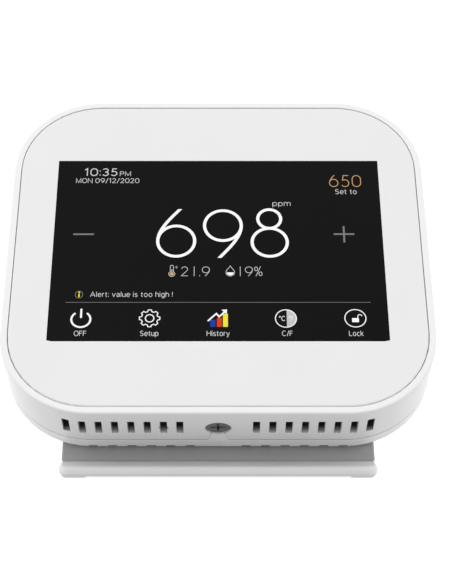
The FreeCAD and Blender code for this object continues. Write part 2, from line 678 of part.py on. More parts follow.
def gas_sensor_parts():
    """Carbon dioxide module: its board, gold-plated chamber, filter and header strips."""
    right = SENSOR_LEFT + SENSOR_WIDTH
    top = SENSOR_BOTTOM + SENSOR_HEIGHT
    board_back = SENSOR_FRONT + SENSOR_BOARD
    board = box((SENSOR_LEFT, right), (SENSOR_FRONT, board_back), (SENSOR_BOTTOM, top))
    can_inset = SENSOR_MARGIN + SENSOR_CAN_GAP
    can_x = (SENSOR_LEFT + can_inset, right - can_inset)
    can_z = (SENSOR_BOTTOM + SENSOR_MARGIN, top - SENSOR_MARGIN)
    can_back = board_back + SENSOR_CAN_DEPTH
    chamber = box(can_x, (board_back, can_back), can_z)
    chamber = fillet_level(chamber, SENSOR_CAN_ROUNDING, "Y", can_back)
    filter_x = around(sum(can_x) / 2, FILTER_WIDTH)
    filter_y = (can_back, can_back + FILTER_THICKNESS)
    membrane = box(filter_x, filter_y, around(sum(can_z) / 2, FILTER_HEIGHT))
    strips = []
    for side in (SENSOR_LEFT, right - SENSOR_MARGIN):
        strips.append(box((side, side + SENSOR_MARGIN), (board_back, BOARD_FRONT), can_z))
    return {"co2_sensor_board": board, "co2_sensor_chamber": chamber,
            "co2_sensor_filter": membrane, "co2_sensor_headers": group(strips)}


def humidity_sensor():
    """Small temperature and humidity chip by the left-hand vents."""
    x_span, z_span = [around(middle, HUMIDITY_WIDTH) for middle in HUMIDITY_PLACE]
    return box(x_span, (BOARD_FRONT - HUMIDITY_THICKNESS, BOARD_FRONT), z_span)


def buzzer():
    """Alarm sounder with its sound hole."""
    top = BOARD_BACK + BUZZER_SIZE[2]
    x, z = BUZZER_PLACE
    hole = rod(BUZZER_HOLE_RADIUS, Vector(x, top - BUZZER_HOLE_DEPTH, z), Vector(x, top + OVERCUT, z))
    return on_board_back(BUZZER_PLACE, BUZZER_SIZE).cut(hole)


def battery_parts():
    """Clock battery in its round holder, under a spring strap."""
    floor = BOARD_BACK + HOLDER_FLOOR
    top = floor + COIN_THICKNESS
    board, low, high = [Vector(COIN_X, y, COIN_Z) for y in (BOARD_BACK, floor, top)]
    cup = rod(COIN_RADIUS + HOLDER_WALL, board, Vector(COIN_X, top - HOLDER_DROP, COIN_Z))
    cup = cup.cut(rod(COIN_RADIUS + COIN_CLEARANCE, low, high))
    cell = fillet_level(rod(COIN_RADIUS, low, high), COIN_ROUNDING, "Y", top)
    reach = COIN_RADIUS + HOLDER_WALL + STRAP_CLEARANCE
    outer = reach + STRAP_THICKNESS
    crown = top + STRAP_THICKNESS
    outline = [(BOARD_BACK, -outer), (crown, -outer), (crown, outer), (BOARD_BACK, outer),
               (BOARD_BACK, reach), (top, reach), (top, -reach), (BOARD_BACK, -reach)]
    strap = prism_along_x(outline, around(COIN_X, STRAP_WIDTH))
    strap.translate(Vector(0, 0, COIN_Z))
    return {"battery_holder": cup, "clock_battery": cell, "battery_strap": strap}


def capacitors():
    """Three electrolytic cans by the power inlet."""
    cans = []
    top = BOARD_BACK + CAPACITOR_HEIGHT
    for z in CAPACITOR_ROWS:
        can = rod(CAPACITOR_RADIUS, Vector(CAPACITOR_X, BOARD_BACK, z), Vector(CAPACITOR_X, top, z))
        cans.append(fillet_level(can, CAPACITOR_ROUNDING, "Y", top))
    return group(cans)


def usb_socket():
    """Steel power socket on the front of the board, open to the right."""
    mouth = OUTER_WIDTH / 2 - USB_RECESS
    y_span = (BOARD_FRONT - USB_THICKNESS, BOARD_FRONT)
    shell = stadium((mouth - USB_LENGTH, mouth), y_span, USB_Z, USB_WIDTH)
    inner_x = (mouth - USB_LENGTH + USB_BACK_WALL, mouth + OVERCUT)
    inner_y = (y_span[0] + USB_SHELL, y_span[1] - USB_SHELL)
    return shell.cut(stadium(inner_x, inner_y, USB_Z, USB_WIDTH - 2 * USB_SHELL))


def usb_tongue():
    """Contact blade inside the power socket."""
    mouth = OUTER_WIDTH / 2 - USB_RECESS
    middle = BOARD_FRONT - USB_THICKNESS / 2
    x_span = (mouth - USB_LENGTH + USB_BACK_WALL, mouth - TONGUE_RECESS)
    return box(x_span, around(middle, TONGUE_THICKNESS), around(USB_Z, TONGUE_WIDTH))


# ---- stand --------------------------------------------------------------------------
def lean_back(shape):
    """Turn a shape from the head's frame to its leaning position over the base."""
    shape = shape.copy()
    shape.rotate(Vector(0, 0, 0), Vector(1, 0, 0), -LEAN)
    return shape


def plate_blank():
    """Stand plate with rounded upper corners, drawn past its lower end."""
    height = PLATE_TOP - CREASE + 2 * PLATE_CORNER
    radii = [PLATE_CORNER, PLATE_CORNER, PLATE_LOWER_CORNER, PLATE_LOWER_CORNER]
    outline = rounded_outline(PLATE_WIDTH, height, radii, HEAD_DEPTH)
    plate = Part.Face(outline).extrude(Vector(0, PLATE_THICKNESS, 0))
    plate = fillet_level(plate, PLATE_ROUNDING, "Y", HEAD_DEPTH)
    plate = fillet_level(plate, PLATE_ROUNDING, "Y", PLATE_BACK)
    plate.translate(Vector(0, 0, PLATE_TOP - height / 2))
    return plate


def plate_knuckle(x):
    """Hinge barrel and its web on the back of the stand plate."""
    x_span = around(x, KNUCKLE_WIDTH)
    low = HINGE_HEIGHT - KNUCKLE_RADIUS
    high = HINGE_HEIGHT + KNUCKLE_RADIUS
    root = PLATE_BACK - PLATE_THICKNESS / 2
    web_top = high + KNUCKLE_WEB
    web = [(root, low), (HINGE_DEPTH, low), (HINGE_DEPTH, high), (PLATE_BACK, web_top), (root, web_top)]
    barrel = rod(KNUCKLE_RADIUS, Vector(x_span[0], HINGE_DEPTH, HINGE_HEIGHT),
                 Vector(x_span[1], HINGE_DEPTH, HINGE_HEIGHT))
    return prism_along_x(web, x_span).fuse(barrel)


def stand_plate():
    """Plate screwed to the back cover, hinged to the base at its lower end."""
    plate = plate_blank()
    for x in (-HINGE_X, HINGE_X):
        plate = plate.fuse(plate_knuckle(x))
    bore = rod(PIN_RADIUS + PIN_CLEARANCE, Vector(-BASE_WIDTH, HINGE_DEPTH, HINGE_HEIGHT),
               Vector(BASE_WIDTH, HINGE_DEPTH, HINGE_HEIGHT))
    plate = plate.cut(bore)
    for x, z in stand_screw_places():
        plate = plate.cut(countersink(x, z))
    below = box((-BASE_WIDTH, BASE_WIDTH), (-BASE_WIDTH, BASE_WIDTH),
                (BASE_BOTTOM - BASE_WIDTH, BASE_TOP + PLATE_TO_BASE_GAP))
    return lean_back(plate).cut(below).removeSplitter()


def countersink(x, z):
    """Cutter for a countersunk screw through the stand plate, from behind."""
    back = Vector(x, PLATE_BACK, z)
    neck = Vector(x, PLATE_BACK - STAND_SCREW_CONE, z)
    hole_radius = SCREW_RADIUS + STAND_SCREW_CLEARANCE
    cutter = cone(STAND_SCREW_HEAD_RADIUS, hole_radius, back, neck)
    return cutter.fuse(rod(hole_radius, neck, Vector(x, HEAD_DEPTH - OVERCUT, z)))


def stand_screws():
    """Four countersunk screws that hold the plate to the back cover."""
    screws = []
    head_radius = STAND_SCREW_HEAD_RADIUS - STAND_SCREW_CLEARANCE / 2
    for x, z in stand_screw_places():
        back = Vector(x, PLATE_BACK, z)
        neck = Vector(x, PLATE_BACK - STAND_SCREW_CONE, z)
        tip = Vector(x, HEAD_DEPTH - INSERT_LENGTH + STAND_SCREW_TIP_ROOM, z)
        screw = cone(head_radius, SCREW_RADIUS, back, neck).fuse(rod(SCREW_RADIUS, neck, tip))
        recess = cross_recess(back, Vector(0, -1, 0), STAND_RECESS)
        screws.append(screw.cut(recess).removeSplitter())
    return group(screws)


def stand_inserts():
    """Four threaded brass inserts in the back cover's bosses."""
    inserts = []
    for x, z in stand_screw_places():
        start = Vector(x, HEAD_DEPTH - INSERT_LENGTH, z)
        end = Vector(x, HEAD_DEPTH, z)
        inserts.append(rod(INSERT_RADIUS, start, end).cut(rod(SCREW_RADIUS, start, end)))
    return group(inserts)


def base_ear(x):
    """Upright ear on the base that carries one end of a hinge pin."""
    x_span = around(x, EAR_THICKNESS)
    root = BASE_TOP - BASE_THICKNESS / 2
    front = HINGE_BACK - KNUCKLE_RADIUS
    side = [(front, root), (front, HINGE_LEVEL), (HINGE_BACK + KNUCKLE_RADIUS, HINGE_LEVEL),
            (HINGE_BACK + EAR_TAIL, BASE_TOP), (HINGE_BACK + EAR_TAIL, root)]
    eye = rod(KNUCKLE_RADIUS, Vector(x_span[0], HINGE_BACK, HINGE_LEVEL),
              Vector(x_span[1], HINGE_BACK, HINGE_LEVEL))
    return prism_along_x(side, x_span).fuse(eye)


def ear_offset():
    """Distance from a hinge's middle to the middle of its ears."""
    return KNUCKLE_WIDTH / 2 + WASHER_THICKNESS + 2 * WASHER_GAP + EAR_THICKNESS / 2


def stand_base():
    """Flat base with rounded edges, foot recesses and four hinge ears."""
    radii = [BASE_BACK_CORNER, BASE_BACK_CORNER, BASE_FRONT_CORNER, BASE_FRONT_CORNER]
    outline = rounded_outline(BASE_WIDTH, BASE_DEPTH, radii, 0)
    base = Part.Face(outline).extrude(Vector(0, BASE_THICKNESS, 0))
    base = fillet_level(base, BASE_ROUNDING, "Y", 0)
    base = fillet_level(base, BASE_ROUNDING, "Y", BASE_THICKNESS)
    base.rotate(Vector(0, 0, 0), Vector(1, 0, 0), 90)
    base = base.mirror(Vector(0, 0, 0), Vector(0, 1, 0))
    base.translate(Vector(0, BASE_FRONT + BASE_DEPTH / 2, BASE_TOP - base.BoundBox.ZMax))
    for hinge in (-HINGE_X, HINGE_X):
        for side in (-1, 1):
            base = base.fuse(base_ear(hinge + side * ear_offset()))
    start = Vector(-BASE_WIDTH, HINGE_BACK, HINGE_LEVEL)
    base = base.cut(rod(PIN_RADIUS, start, Vector(BASE_WIDTH, HINGE_BACK, HINGE_LEVEL)))
    for middle in foot_middles():
        base = base.cut(foot_block(middle, FOOT_RECESS, OVERCUT))
    return base.removeSplitter()


def foot_middles():
    """Middles of the four feet: the front pair, then the rear pair."""
    x = BASE_WIDTH / 2 - FOOT_INSET - FOOT_WIDTH / 2
    front = BASE_FRONT + FOOT_SETBACK + FOOT_LENGTH / 2
    back = BASE_FRONT + BASE_DEPTH - BASE_BACK_CORNER - FOOT_LENGTH / 2
    return [(-x, front), (x, front), (-x, back), (x, back)]


def foot_block(middle, inside, outside):
    """Upright block of a foot, from inside the base to below it."""
    z_span = (BASE_BOTTOM - outside, BASE_BOTTOM + inside)
    return box(around(middle[0], FOOT_WIDTH), around(middle[1], FOOT_LENGTH), z_span)


def foot(middle):
    """Soft pad with sloped ends, let into the base's underside."""
    pad = foot_block(middle, FOOT_RECESS, FOOT_HEIGHT)
    outward = math.copysign(1, middle[0])
    bottom = BASE_BOTTOM - FOOT_HEIGHT
    for side, slope in ((outward, FOOT_OUTER_SLOPE), (-outward, FOOT_INNER_SLOPE)):
        end = middle[0] + side * FOOT_WIDTH / 2
        corners = [Vector(end, 0, BASE_BOTTOM), Vector(end - side * slope, 0, bottom), Vector(end, 0, bottom)]
        outline = Part.makePolygon(corners + corners[:1])
        wedge = Part.Face(outline).extrude(Vector(0, FOOT_LENGTH + 2 * OVERCUT, 0))
        wedge.translate(Vector(0, middle[1] - FOOT_LENGTH / 2 - OVERCUT, 0))
        pad = pad.cut(wedge)
    return pad


def hinge_pins():
    """Two steel pins pressed into the base's ears."""
    pins = []
    half = ear_offset() + EAR_THICKNESS / 2
    for x in (-HINGE_X, HINGE_X):
        start = Vector(x - half, HINGE_BACK, HINGE_LEVEL)
        pins.append(rod(PIN_RADIUS, start, Vector(x + half, HINGE_BACK, HINGE_LEVEL)))
    return group(pins)


def hinge_washers():
    """Four friction washers between the knuckles and the ears."""
    washers = []
    for hinge in (-HINGE_X, HINGE_X):
        for side in (-1, 1):
            middle = hinge + side * (KNUCKLE_WIDTH / 2 + WASHER_GAP + WASHER_THICKNESS / 2)
            start = Vector(middle - WASHER_THICKNESS / 2, HINGE_BACK, HINGE_LEVEL)
            end = Vector(middle + WASHER_THICKNESS / 2, HINGE_BACK, HINGE_LEVEL)
            disc = rod(WASHER_RADIUS, start, end)
            washers.append(disc.cut(rod(PIN_RADIUS + PIN_CLEARANCE, start, end)))
    return group(washers)


# ---- assembly -----------------------------------------------------------------------
def head_parts():
    """Every piece of the head that is drawn in the head's frame."""
    parts = {
        "front_panel": front_panel(),
        "touch_glass": touch_glass(),
        "bonding_film": bonding_film(),
        "display_gasket": display_gasket(),
        "display_cell": display_cell(),
        "backlight": backlight(),
        "display_tray": display_tray(),
        "display_ribbon": display_ribbon(),
        "ribbon_connector": ribbon_connector(),
        "housing": housing(),
        "back_cover": back_cover(),
        "case_screw": case_screw(),
        "case_insert": case_insert(),
        "main_board": main_board(),
        "board_screws": board_screws(),
        "reset_switch": reset_switch(),
        "reset_button": reset_button(),
        "humidity_sensor": humidity_sensor(),
        "processor": on_board_back(PROCESSOR_PLACE, PROCESSOR_SIZE),
        "memory_chip": on_board_back(MEMORY_PLACE, MEMORY_SIZE),
        "power_inductor": on_board_back(INDUCTOR_PLACE, INDUCTOR_SIZE),
        "capacitors": capacitors(),
        "buzzer": buzzer(),
        "usb_socket": usb_socket(),
        "usb_tongue": usb_tongue(),
        "stand_screws": stand_screws(),
        "stand_inserts": stand_inserts(),
    }
    parts.update(gas_sensor_parts())
    parts.update(battery_parts())
    return parts


def stand_parts():
    """Every piece of the stand, already in its leaning place."""
    feet = [foot(middle) for middle in foot_middles()]
    return {
        "stand_plate": stand_plate(),
        "stand_base": stand_base(),
        "front_feet": group(feet[:2]),
        "rear_feet": group(feet[2:]),
        "hinge_pins": hinge_pins(),
        "hinge_washers": hinge_washers(),
    }


def assembly():
    """All pieces in the part's own frame, and how far they were moved to get there."""
    parts = {name: lean_back(shape) for name, shape in head_parts().items()}
    parts.update(stand_parts())
    limits = Part.makeCompound(list(parts.values())).optimalBoundingBox(False, False)
    shift = Vector(0, -(limits.YMin + limits.YMax) / 2, -limits.ZMin)
    for shape in parts.values():
        shape.translate(shift)
    return parts, shift


os.makedirs("parts", exist_ok=True)
all_parts, moved = assembly()
for node, piece in all_parts.items():
    piece.exportStep("parts/" + node + ".step")
print("moved by", round(moved.y, 4), round(moved.z, 4))
print("hinge axis at y", round(HINGE_BACK + moved.y, 4), "z", round(HINGE_LEVEL + moved.z, 4))
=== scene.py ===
"""Looks of the desktop air quality monitor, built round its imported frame.  Metres, Z up."""
import json
import math

import bmesh
import bpy
from mathutils import Matrix, Vector
from mathutils.geometry import delaunay_2d_cdt


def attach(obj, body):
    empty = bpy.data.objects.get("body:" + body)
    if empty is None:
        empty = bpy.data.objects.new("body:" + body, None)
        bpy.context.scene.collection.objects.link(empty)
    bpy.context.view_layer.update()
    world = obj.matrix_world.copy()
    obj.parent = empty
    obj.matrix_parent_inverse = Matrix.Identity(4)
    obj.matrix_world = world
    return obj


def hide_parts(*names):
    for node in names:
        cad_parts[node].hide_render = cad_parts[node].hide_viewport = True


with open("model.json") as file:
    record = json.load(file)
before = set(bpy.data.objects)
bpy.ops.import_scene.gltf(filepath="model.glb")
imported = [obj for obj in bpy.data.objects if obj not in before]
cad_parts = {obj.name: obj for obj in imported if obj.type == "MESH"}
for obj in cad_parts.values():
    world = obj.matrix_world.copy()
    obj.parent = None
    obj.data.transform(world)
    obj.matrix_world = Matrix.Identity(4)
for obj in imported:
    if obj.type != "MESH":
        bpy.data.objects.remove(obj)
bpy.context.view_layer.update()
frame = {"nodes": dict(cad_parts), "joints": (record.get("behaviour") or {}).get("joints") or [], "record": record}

MM = 0.001

# ---- the head's own axes, read from the frame ----
# In the head's axes X is to the right, Y from the front face towards the back and Z up
# the face; the reset plunger moves along that Z.
press = next(joint for joint in frame["joints"] if joint["name"] == "reset_press")
LEAN = math.atan2(press["axis"][1], press["axis"][2])
TURN = Matrix.Rotation(-LEAN, 4, "X")


def turned_limits(node):
    """Lowest and highest corner of a node in axes turned with the head."""
    upright = TURN.inverted()
    points = [upright @ vertex.co for vertex in frame["nodes"][node].data.vertices]
    low = Vector([min(point[axis] for point in points) for axis in range(3)])
    high = Vector([max(point[axis] for point in points) for axis in range(3)])
    return low, high


case_low, case_high = turned_limits("housing")
FACE_MIDDLE = TURN @ Vector((0, case_low.y, (case_low.z + case_high.z) / 2))
HEAD = Matrix.Translation(FACE_MIDDLE) @ TURN


# ---- building helpers ----
def new_object(name, data):
    """New object in the scene."""
    made = bpy.data.objects.new(name, data)
    bpy.context.scene.collection.objects.link(made)
    return made


def piece_from(name, verts, faces, matrix=Matrix.Identity(4)):
    """New mesh object from points in metres, placed by the matrix."""
    mesh = bpy.data.meshes.new(name)
    mesh.from_pydata([tuple(matrix @ Vector(vert)) for vert in verts], [], faces)
    mesh.update()
    return new_object(name, mesh)


def tidy_normals(piece):
    """Welds doubled points and turns every face outward."""
    work = bmesh.new()
    work.from_mesh(piece.data)
    bmesh.ops.remove_doubles(work, verts=work.verts, dist=1e-7)
    bmesh.ops.recalc_face_normals(work, faces=work.faces)
    work.to_mesh(piece.data)
    work.free()


# ---- materials ----
def feed(tree, socket, value):
    """Sets an input to a plain value or links it to another node's output."""
    if isinstance(value, bpy.types.NodeSocket):
        tree.links.new(value, socket)
    else:
        socket.default_value = value


def feed_all(tree, node, **inputs):
    """Feeds a node's inputs by name, spaces written as underscores."""
    for name, value in inputs.items():
        feed(tree, node.inputs[name.replace("_", " ")], value)
    return node


def new_node(tree, kind, **inputs):
    """Shader node with its inputs fed by name."""
    return feed_all(tree, tree.nodes.new("ShaderNode" + kind), **inputs)


def new_material(name):
    """Material with its node tree, its shader and its place in the object's axes."""
    material = bpy.data.materials.new(name)
    material.use_nodes = True
    tree = material.node_tree
    place = new_node(tree, "TexCoord").outputs["Object"]
    return material, tree, tree.nodes["Principled BSDF"], place


def spread(tree, noise, low, high):
    """Noise turned into an even spread of values from low to high."""
    return new_node(tree, "MapRange", Value=noise.outputs["Fac"], From_Min=0.3, From_Max=0.7,
                    To_Min=low, To_Max=high).outputs["Result"]


def between(tree, factor, colours):
    """Colour that goes from the first of two to the second as the factor goes from 0 to 1."""
    mix = tree.nodes.new("ShaderNodeMix")
    mix.data_type = "RGBA"
    feed(tree, mix.inputs["Factor"], factor)
    ends = [socket for socket in mix.inputs if socket.type == "RGBA"]
    for socket, colour in zip(ends, colours):
        socket.default_value = (*colour, 1)
    return next(socket for socket in mix.outputs if socket.type == "RGBA")


def tint(tree, factor, colour, shade):
    """Colour that drifts to either side of the given one as the factor goes from 0 to 1."""
    sides = [[min(1, part * share) for part in colour] for share in (1 - shade, 1 + shade)]
    return between(tree, factor, sides)


def surface(name, colour, roughness=0.45, metallic=0.0, grain=0.4, height=0.004,
            shade=0.03, specular=0.5, stretch=(1, 1, 1)):
    """Procedural material: a colour that drifts a little, uneven gloss and a fine grain.

    grain is the grain's size and height its depth, both in millimetres.
    """
    material, tree, shader, place = new_material(name)
    mapped = new_node(tree, "Mapping", Vector=place, Scale=stretch).outputs["Vector"]
    drift = new_node(tree, "TexNoise", Vector=place, Scale=60.0, Detail=3.0)
    fine = new_node(tree, "TexNoise", Vector=mapped, Scale=1 / (grain * MM), Detail=4.0)
    bump = new_node(tree, "Bump", Height=fine.outputs["Fac"], Strength=0.6, Distance=height * MM)
    feed_all(tree, shader, Base_Color=tint(tree, spread(tree, drift, 0.0, 1.0), colour, shade),
             Roughness=spread(tree, fine, roughness - 0.05, roughness + 0.05),
             Normal=bump.outputs["Normal"], Metallic=metallic, Specular_IOR_Level=specular)
    return material


def glow(name, colour):
    """Lit display dots: the colour with the faint unevenness of the cell behind it."""
    material, tree, shader, place = new_material(name)
    cells = new_node(tree, "TexNoise", Vector=place, Scale=6000.0, Detail=0.0)
    feed_all(tree, shader, Emission_Color=tint(tree, cells.outputs["Fac"], colour, 0.02),
             Emission_Strength=1.0, Base_Color=(0, 0, 0, 1), Specular_IOR_Level=0.05,
             Roughness=0.4)
    return material


PANEL_WHITE = (0.79, 0.79, 0.79)
SHELL_WHITE = (0.84, 0.84, 0.84)
FINISHES = {
    "front_panel": surface("panel_white", PANEL_WHITE, 0.5, height=0.002, shade=0.008),
    "housing": surface("housing_white", SHELL_WHITE, 0.45, height=0.003, shade=0.008),
    # The back cover's white is lighter than the housing's: painted light against the stand plate's shade on its
    # underside.
    "back_cover": surface("cover_painted_light_white", (0.88, 0.88, 0.88), 0.48, height=0.003, shade=0.01),
    "stand": surface("stand_white", SHELL_WHITE, 0.45, height=0.003, shade=0.01),
    "feet": surface("foot_silicone", (0.9, 0.9, 0.9), 0.7, grain=0.25, shade=0.03),
    "cover_glass": surface("black_glass", (0.0032, 0.0032, 0.0034), 0.2, grain=3.0,
                           height=0.0002, shade=0.05, specular=0.06),
    "adhesive_film": surface("clear_film", (0.7, 0.7, 0.7), 0.2, shade=0.01),
    "foam": surface("black_foam", (0.03, 0.03, 0.03), 0.9, grain=0.15, height=0.05, shade=0.2),
    "display_cell": surface("cell_glass", (0.02, 0.02, 0.025), 0.1, height=0.0),
    "light_guide": surface("light_guide", (0.8, 0.82, 0.85), 0.3, shade=0.01),
    "tray_steel": surface("tray_steel", (0.55, 0.55, 0.56), 0.35, 1.0, grain=0.1,
                          stretch=(1, 20, 20)),
    "ribbon": surface("ribbon_film", (0.5, 0.24, 0.04), 0.3, grain=0.5, stretch=(8, 1, 1),
                      shade=0.2),
    "connector_plastic": surface("connector_black", (0.03, 0.03, 0.03), 0.5),
    "board": surface("board_green", (0.015, 0.13, 0.06), 0.35, grain=0.8, height=0.02,
                     shade=0.25),
    "screw_steel": surface("screw_steel", (0.17, 0.17, 0.175), 0.45, 0.6, grain=0.15,
                           height=0.003, shade=0.08),
    "brass": surface("insert_brass", (0.7, 0.48, 0.2), 0.3, 1.0, grain=0.3, height=0.02),
    "chip_plastic": surface("chip_black", (0.025, 0.025, 0.025), 0.6, grain=0.1, height=0.01),
    "sensor_gold": surface("sensor_gold", (0.83, 0.6, 0.25), 0.28, 1.0, grain=0.3, height=0.003),
    "sensor_filter": surface("filter_membrane", (0.8, 0.8, 0.8), 0.9, grain=0.08, height=0.02),
    "ceramic": surface("ferrite", (0.07, 0.07, 0.075), 0.6, grain=0.1, height=0.01),
    "capacitor_can": surface("capacitor_can", (0.7, 0.7, 0.72), 0.25, 1.0, grain=0.2),
    "coin_steel": surface("coin_steel", (0.66, 0.66, 0.65), 0.28, 1.0, grain=0.1, height=0.002),
    "socket_steel": surface("socket_steel", (0.6, 0.6, 0.61), 0.3, 1.0, grain=0.1, height=0.002),
    "hinge_steel": surface("hinge_steel", (0.5, 0.5, 0.51), 0.3, 1.0, grain=0.1,
                           stretch=(1, 30, 30)),
}
# Inside faces of the shells are black: painted shade of the hollow inside, where the white plastic lies in shadow.
INSIDE_PAINTED_SHADE = surface("inside_painted_shade_black", (0.012, 0.012, 0.012), 0.8, grain=0.3, height=0.01,
                      shade=0.1)
# The plate's grey, darker than the foot's white, is painted shade for the head's shadow on it.
STAND_TONES_AND_PAINTED_SHADE = {
    "stand_plate": surface("plate_painted_shade_grey", (0.34, 0.34, 0.34), 0.5, height=0.003, shade=0.01),
    "stand_base": surface("base_white", (0.76, 0.76, 0.76), 0.42, height=0.003, shade=0.01),
}


def finish_nodes():
    """Gives every CAD node the material of its slot, or its own tone of it; the plate's grey is painted shade."""
    for entry in frame["record"]["subparts"]:
        node = frame["nodes"][entry["node"]]
        node.data.materials.clear()
        finish = STAND_TONES_AND_PAINTED_SHADE.get(entry["node"], FINISHES[entry["material_slot"]])
        node.data.materials.append(finish)


finish_nodes()

# ---- the picture on the display ----
# Places on the screen are millimetres from its middle, X right and Z up.
glass_low, glass_high = turned_limits("touch_glass")
GLASS_DEPTH = glass_low.y - case_low.y
LIFT = 0.02 * MM              # the lit dots' plates stand this far out of the glass
PLATE = 0.012 * MM            # and are this thick


class Drawing:
    """Flat strokes and shapes of one colour, gathered into one thin piece."""

    def __init__(self):
        self.shapes = []
        self.verts = []
        self.faces = []

    def polygon(self, points):
        """Filled shape from its outline."""
        area = sum(a[0] * b[1] - b[0] * a[1] for a, b in zip(points, points[1:] + points[:1]))
        if abs(area) > 1e-6:
            ordered = points if area > 0 else points[::-1]
            self.shapes.append([Vector(point) for point in ordered])

    def stroke(self, points, width, closed=False):
        """Ribbon of even width along a line, mitred where the line turns."""
        left, right = ribbon_sides([Vector(point) for point in points], width, closed)
        for index in range(len(points) - (not closed)):
            following = (index + 1) % len(points)
            self.polygon([left[index], right[index], right[following], left[following]])

    def settle(self):
        """Joins the overlapping shapes drawn so far into one flat patch."""
        if not self.shapes:
            return
        points = [point for shape in self.shapes for point in shape]
        outlines, start = [], 0
        for shape in self.shapes:
            outlines.append(list(range(start, start + len(shape))))
            start += len(shape)
        flat, _, faces, _, _, sources = delaunay_2d_cdt(points, [], outlines, 1, 1e-6)
        first = len(self.verts)
        self.verts += flat
        self.faces += [[first + vert for vert in face]
                       for face, source in zip(faces, sources) if source]
        self.shapes = []

    def build(self, name, material, layer=0):
        """The finished thin piece, riding on the head; a lower layer lies nearer the glass."""
        self.settle()
        depth = GLASS_DEPTH - LIFT - layer * PLATE
        places = [(point.x * MM, depth, point.y * MM) for point in self.verts]
        piece = piece_from(name, places, self.faces, HEAD)
        join_flat_faces(piece)
        thick = piece.modifiers.new("thickness", "SOLIDIFY")
        thick.thickness = PLATE
        piece.data.materials.append(material)
        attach(piece, "head")


def ribbon_sides(points, width, closed):
    """Left and right edge of a ribbon along a line."""
    left, right = [], []
    count = len(points)
    for index, point in enumerate(points):
        before = points[index - 1] if closed or index else None
        after = points[(index + 1) % count] if closed or index < count - 1 else None
        incoming = (point - before if before else after - point).normalized()
        outgoing = (after - point if after else point - before).normalized()
        straight = Vector((-incoming.y, incoming.x))
        side = (straight + Vector((-outgoing.y, outgoing.x))).normalized()
        reach = side * (width / 2 / max(0.45, side.dot(straight)))
        left.append(point + reach)
        right.append(point - reach)
    return left, right


def join_flat_faces(piece):
    """Drops unused points and joins pairs of triangles into quads."""
    work = bmesh.new()
    work.from_mesh(piece.data)
    unused = [vert for vert in work.verts if not vert.link_faces]
    bmesh.ops.delete(work, geom=unused, context="VERTS")
    bmesh.ops.join_triangles(work, faces=work.faces, angle_face_threshold=0.1,
                             angle_shape_threshold=1.4)
    bmesh.ops.recalc_face_normals(work, faces=work.faces)
    work.to_mesh(piece.data)
    work.free()


def arc(middle, radii, start, end, steps=24):
    """Points along part of an ellipse, angles in degrees from the right, anticlockwise."""
    points = []
    for step in range(steps + 1):
        angle = math.radians(start + (end - start) * step / steps)
        points.append((middle[0] + radii[0] * math.cos(angle), middle[1] + radii[1] * math.sin(angle)))
    return points


def ellipse(middle, radii, steps=48):
    """Points of a whole ellipse, not repeated at its end."""
    return arc(middle, radii, 0, 360, steps)[:-1]


def bezier(start, first, second, end, steps=16):
    """Points along a cubic curve."""
    points = []
    for step in range(steps + 1):
        t = step / steps
        s = 1 - t
        weights = (s ** 3, 3 * s * s * t, 3 * s * t * t, t ** 3)
        corners = (start, first, second, end)
        points.append(tuple(sum(w * corner[axis] for w, corner in zip(weights, corners))
                            for axis in range(2)))
    return points


# A thin sans-serif hand.  Each sign is (width, open lines, rings), a capital one unit tall.
# "|" is the plain upright that stands for a one in the small readings.
SMALL = 0.73                  # height of the small letters
STEM = [(0, 0), (0, SMALL)]
TALL_STEM = [(0, 0), (0, 1.03)]
SMALL_RING = ellipse((0.27, SMALL / 2), (0.25, SMALL / 2), 28)


def arch(left, right):
    """Hump of a small n or m, down to the line."""
    middle, half = (left + right) / 2, (right - left) / 2
    return [(left, 0.4)] + arc((middle, 0.47), (half, SMALL - 0.47), 180, 0, 12) + [(right, 0)]


def turned(sign):
    """A sign turned half round."""
    width, lines, rings = sign
    flip = lambda line: [(width - x, 1 - z) for x, z in line]
    return width, [flip(line) for line in lines], [flip(line) for line in rings]


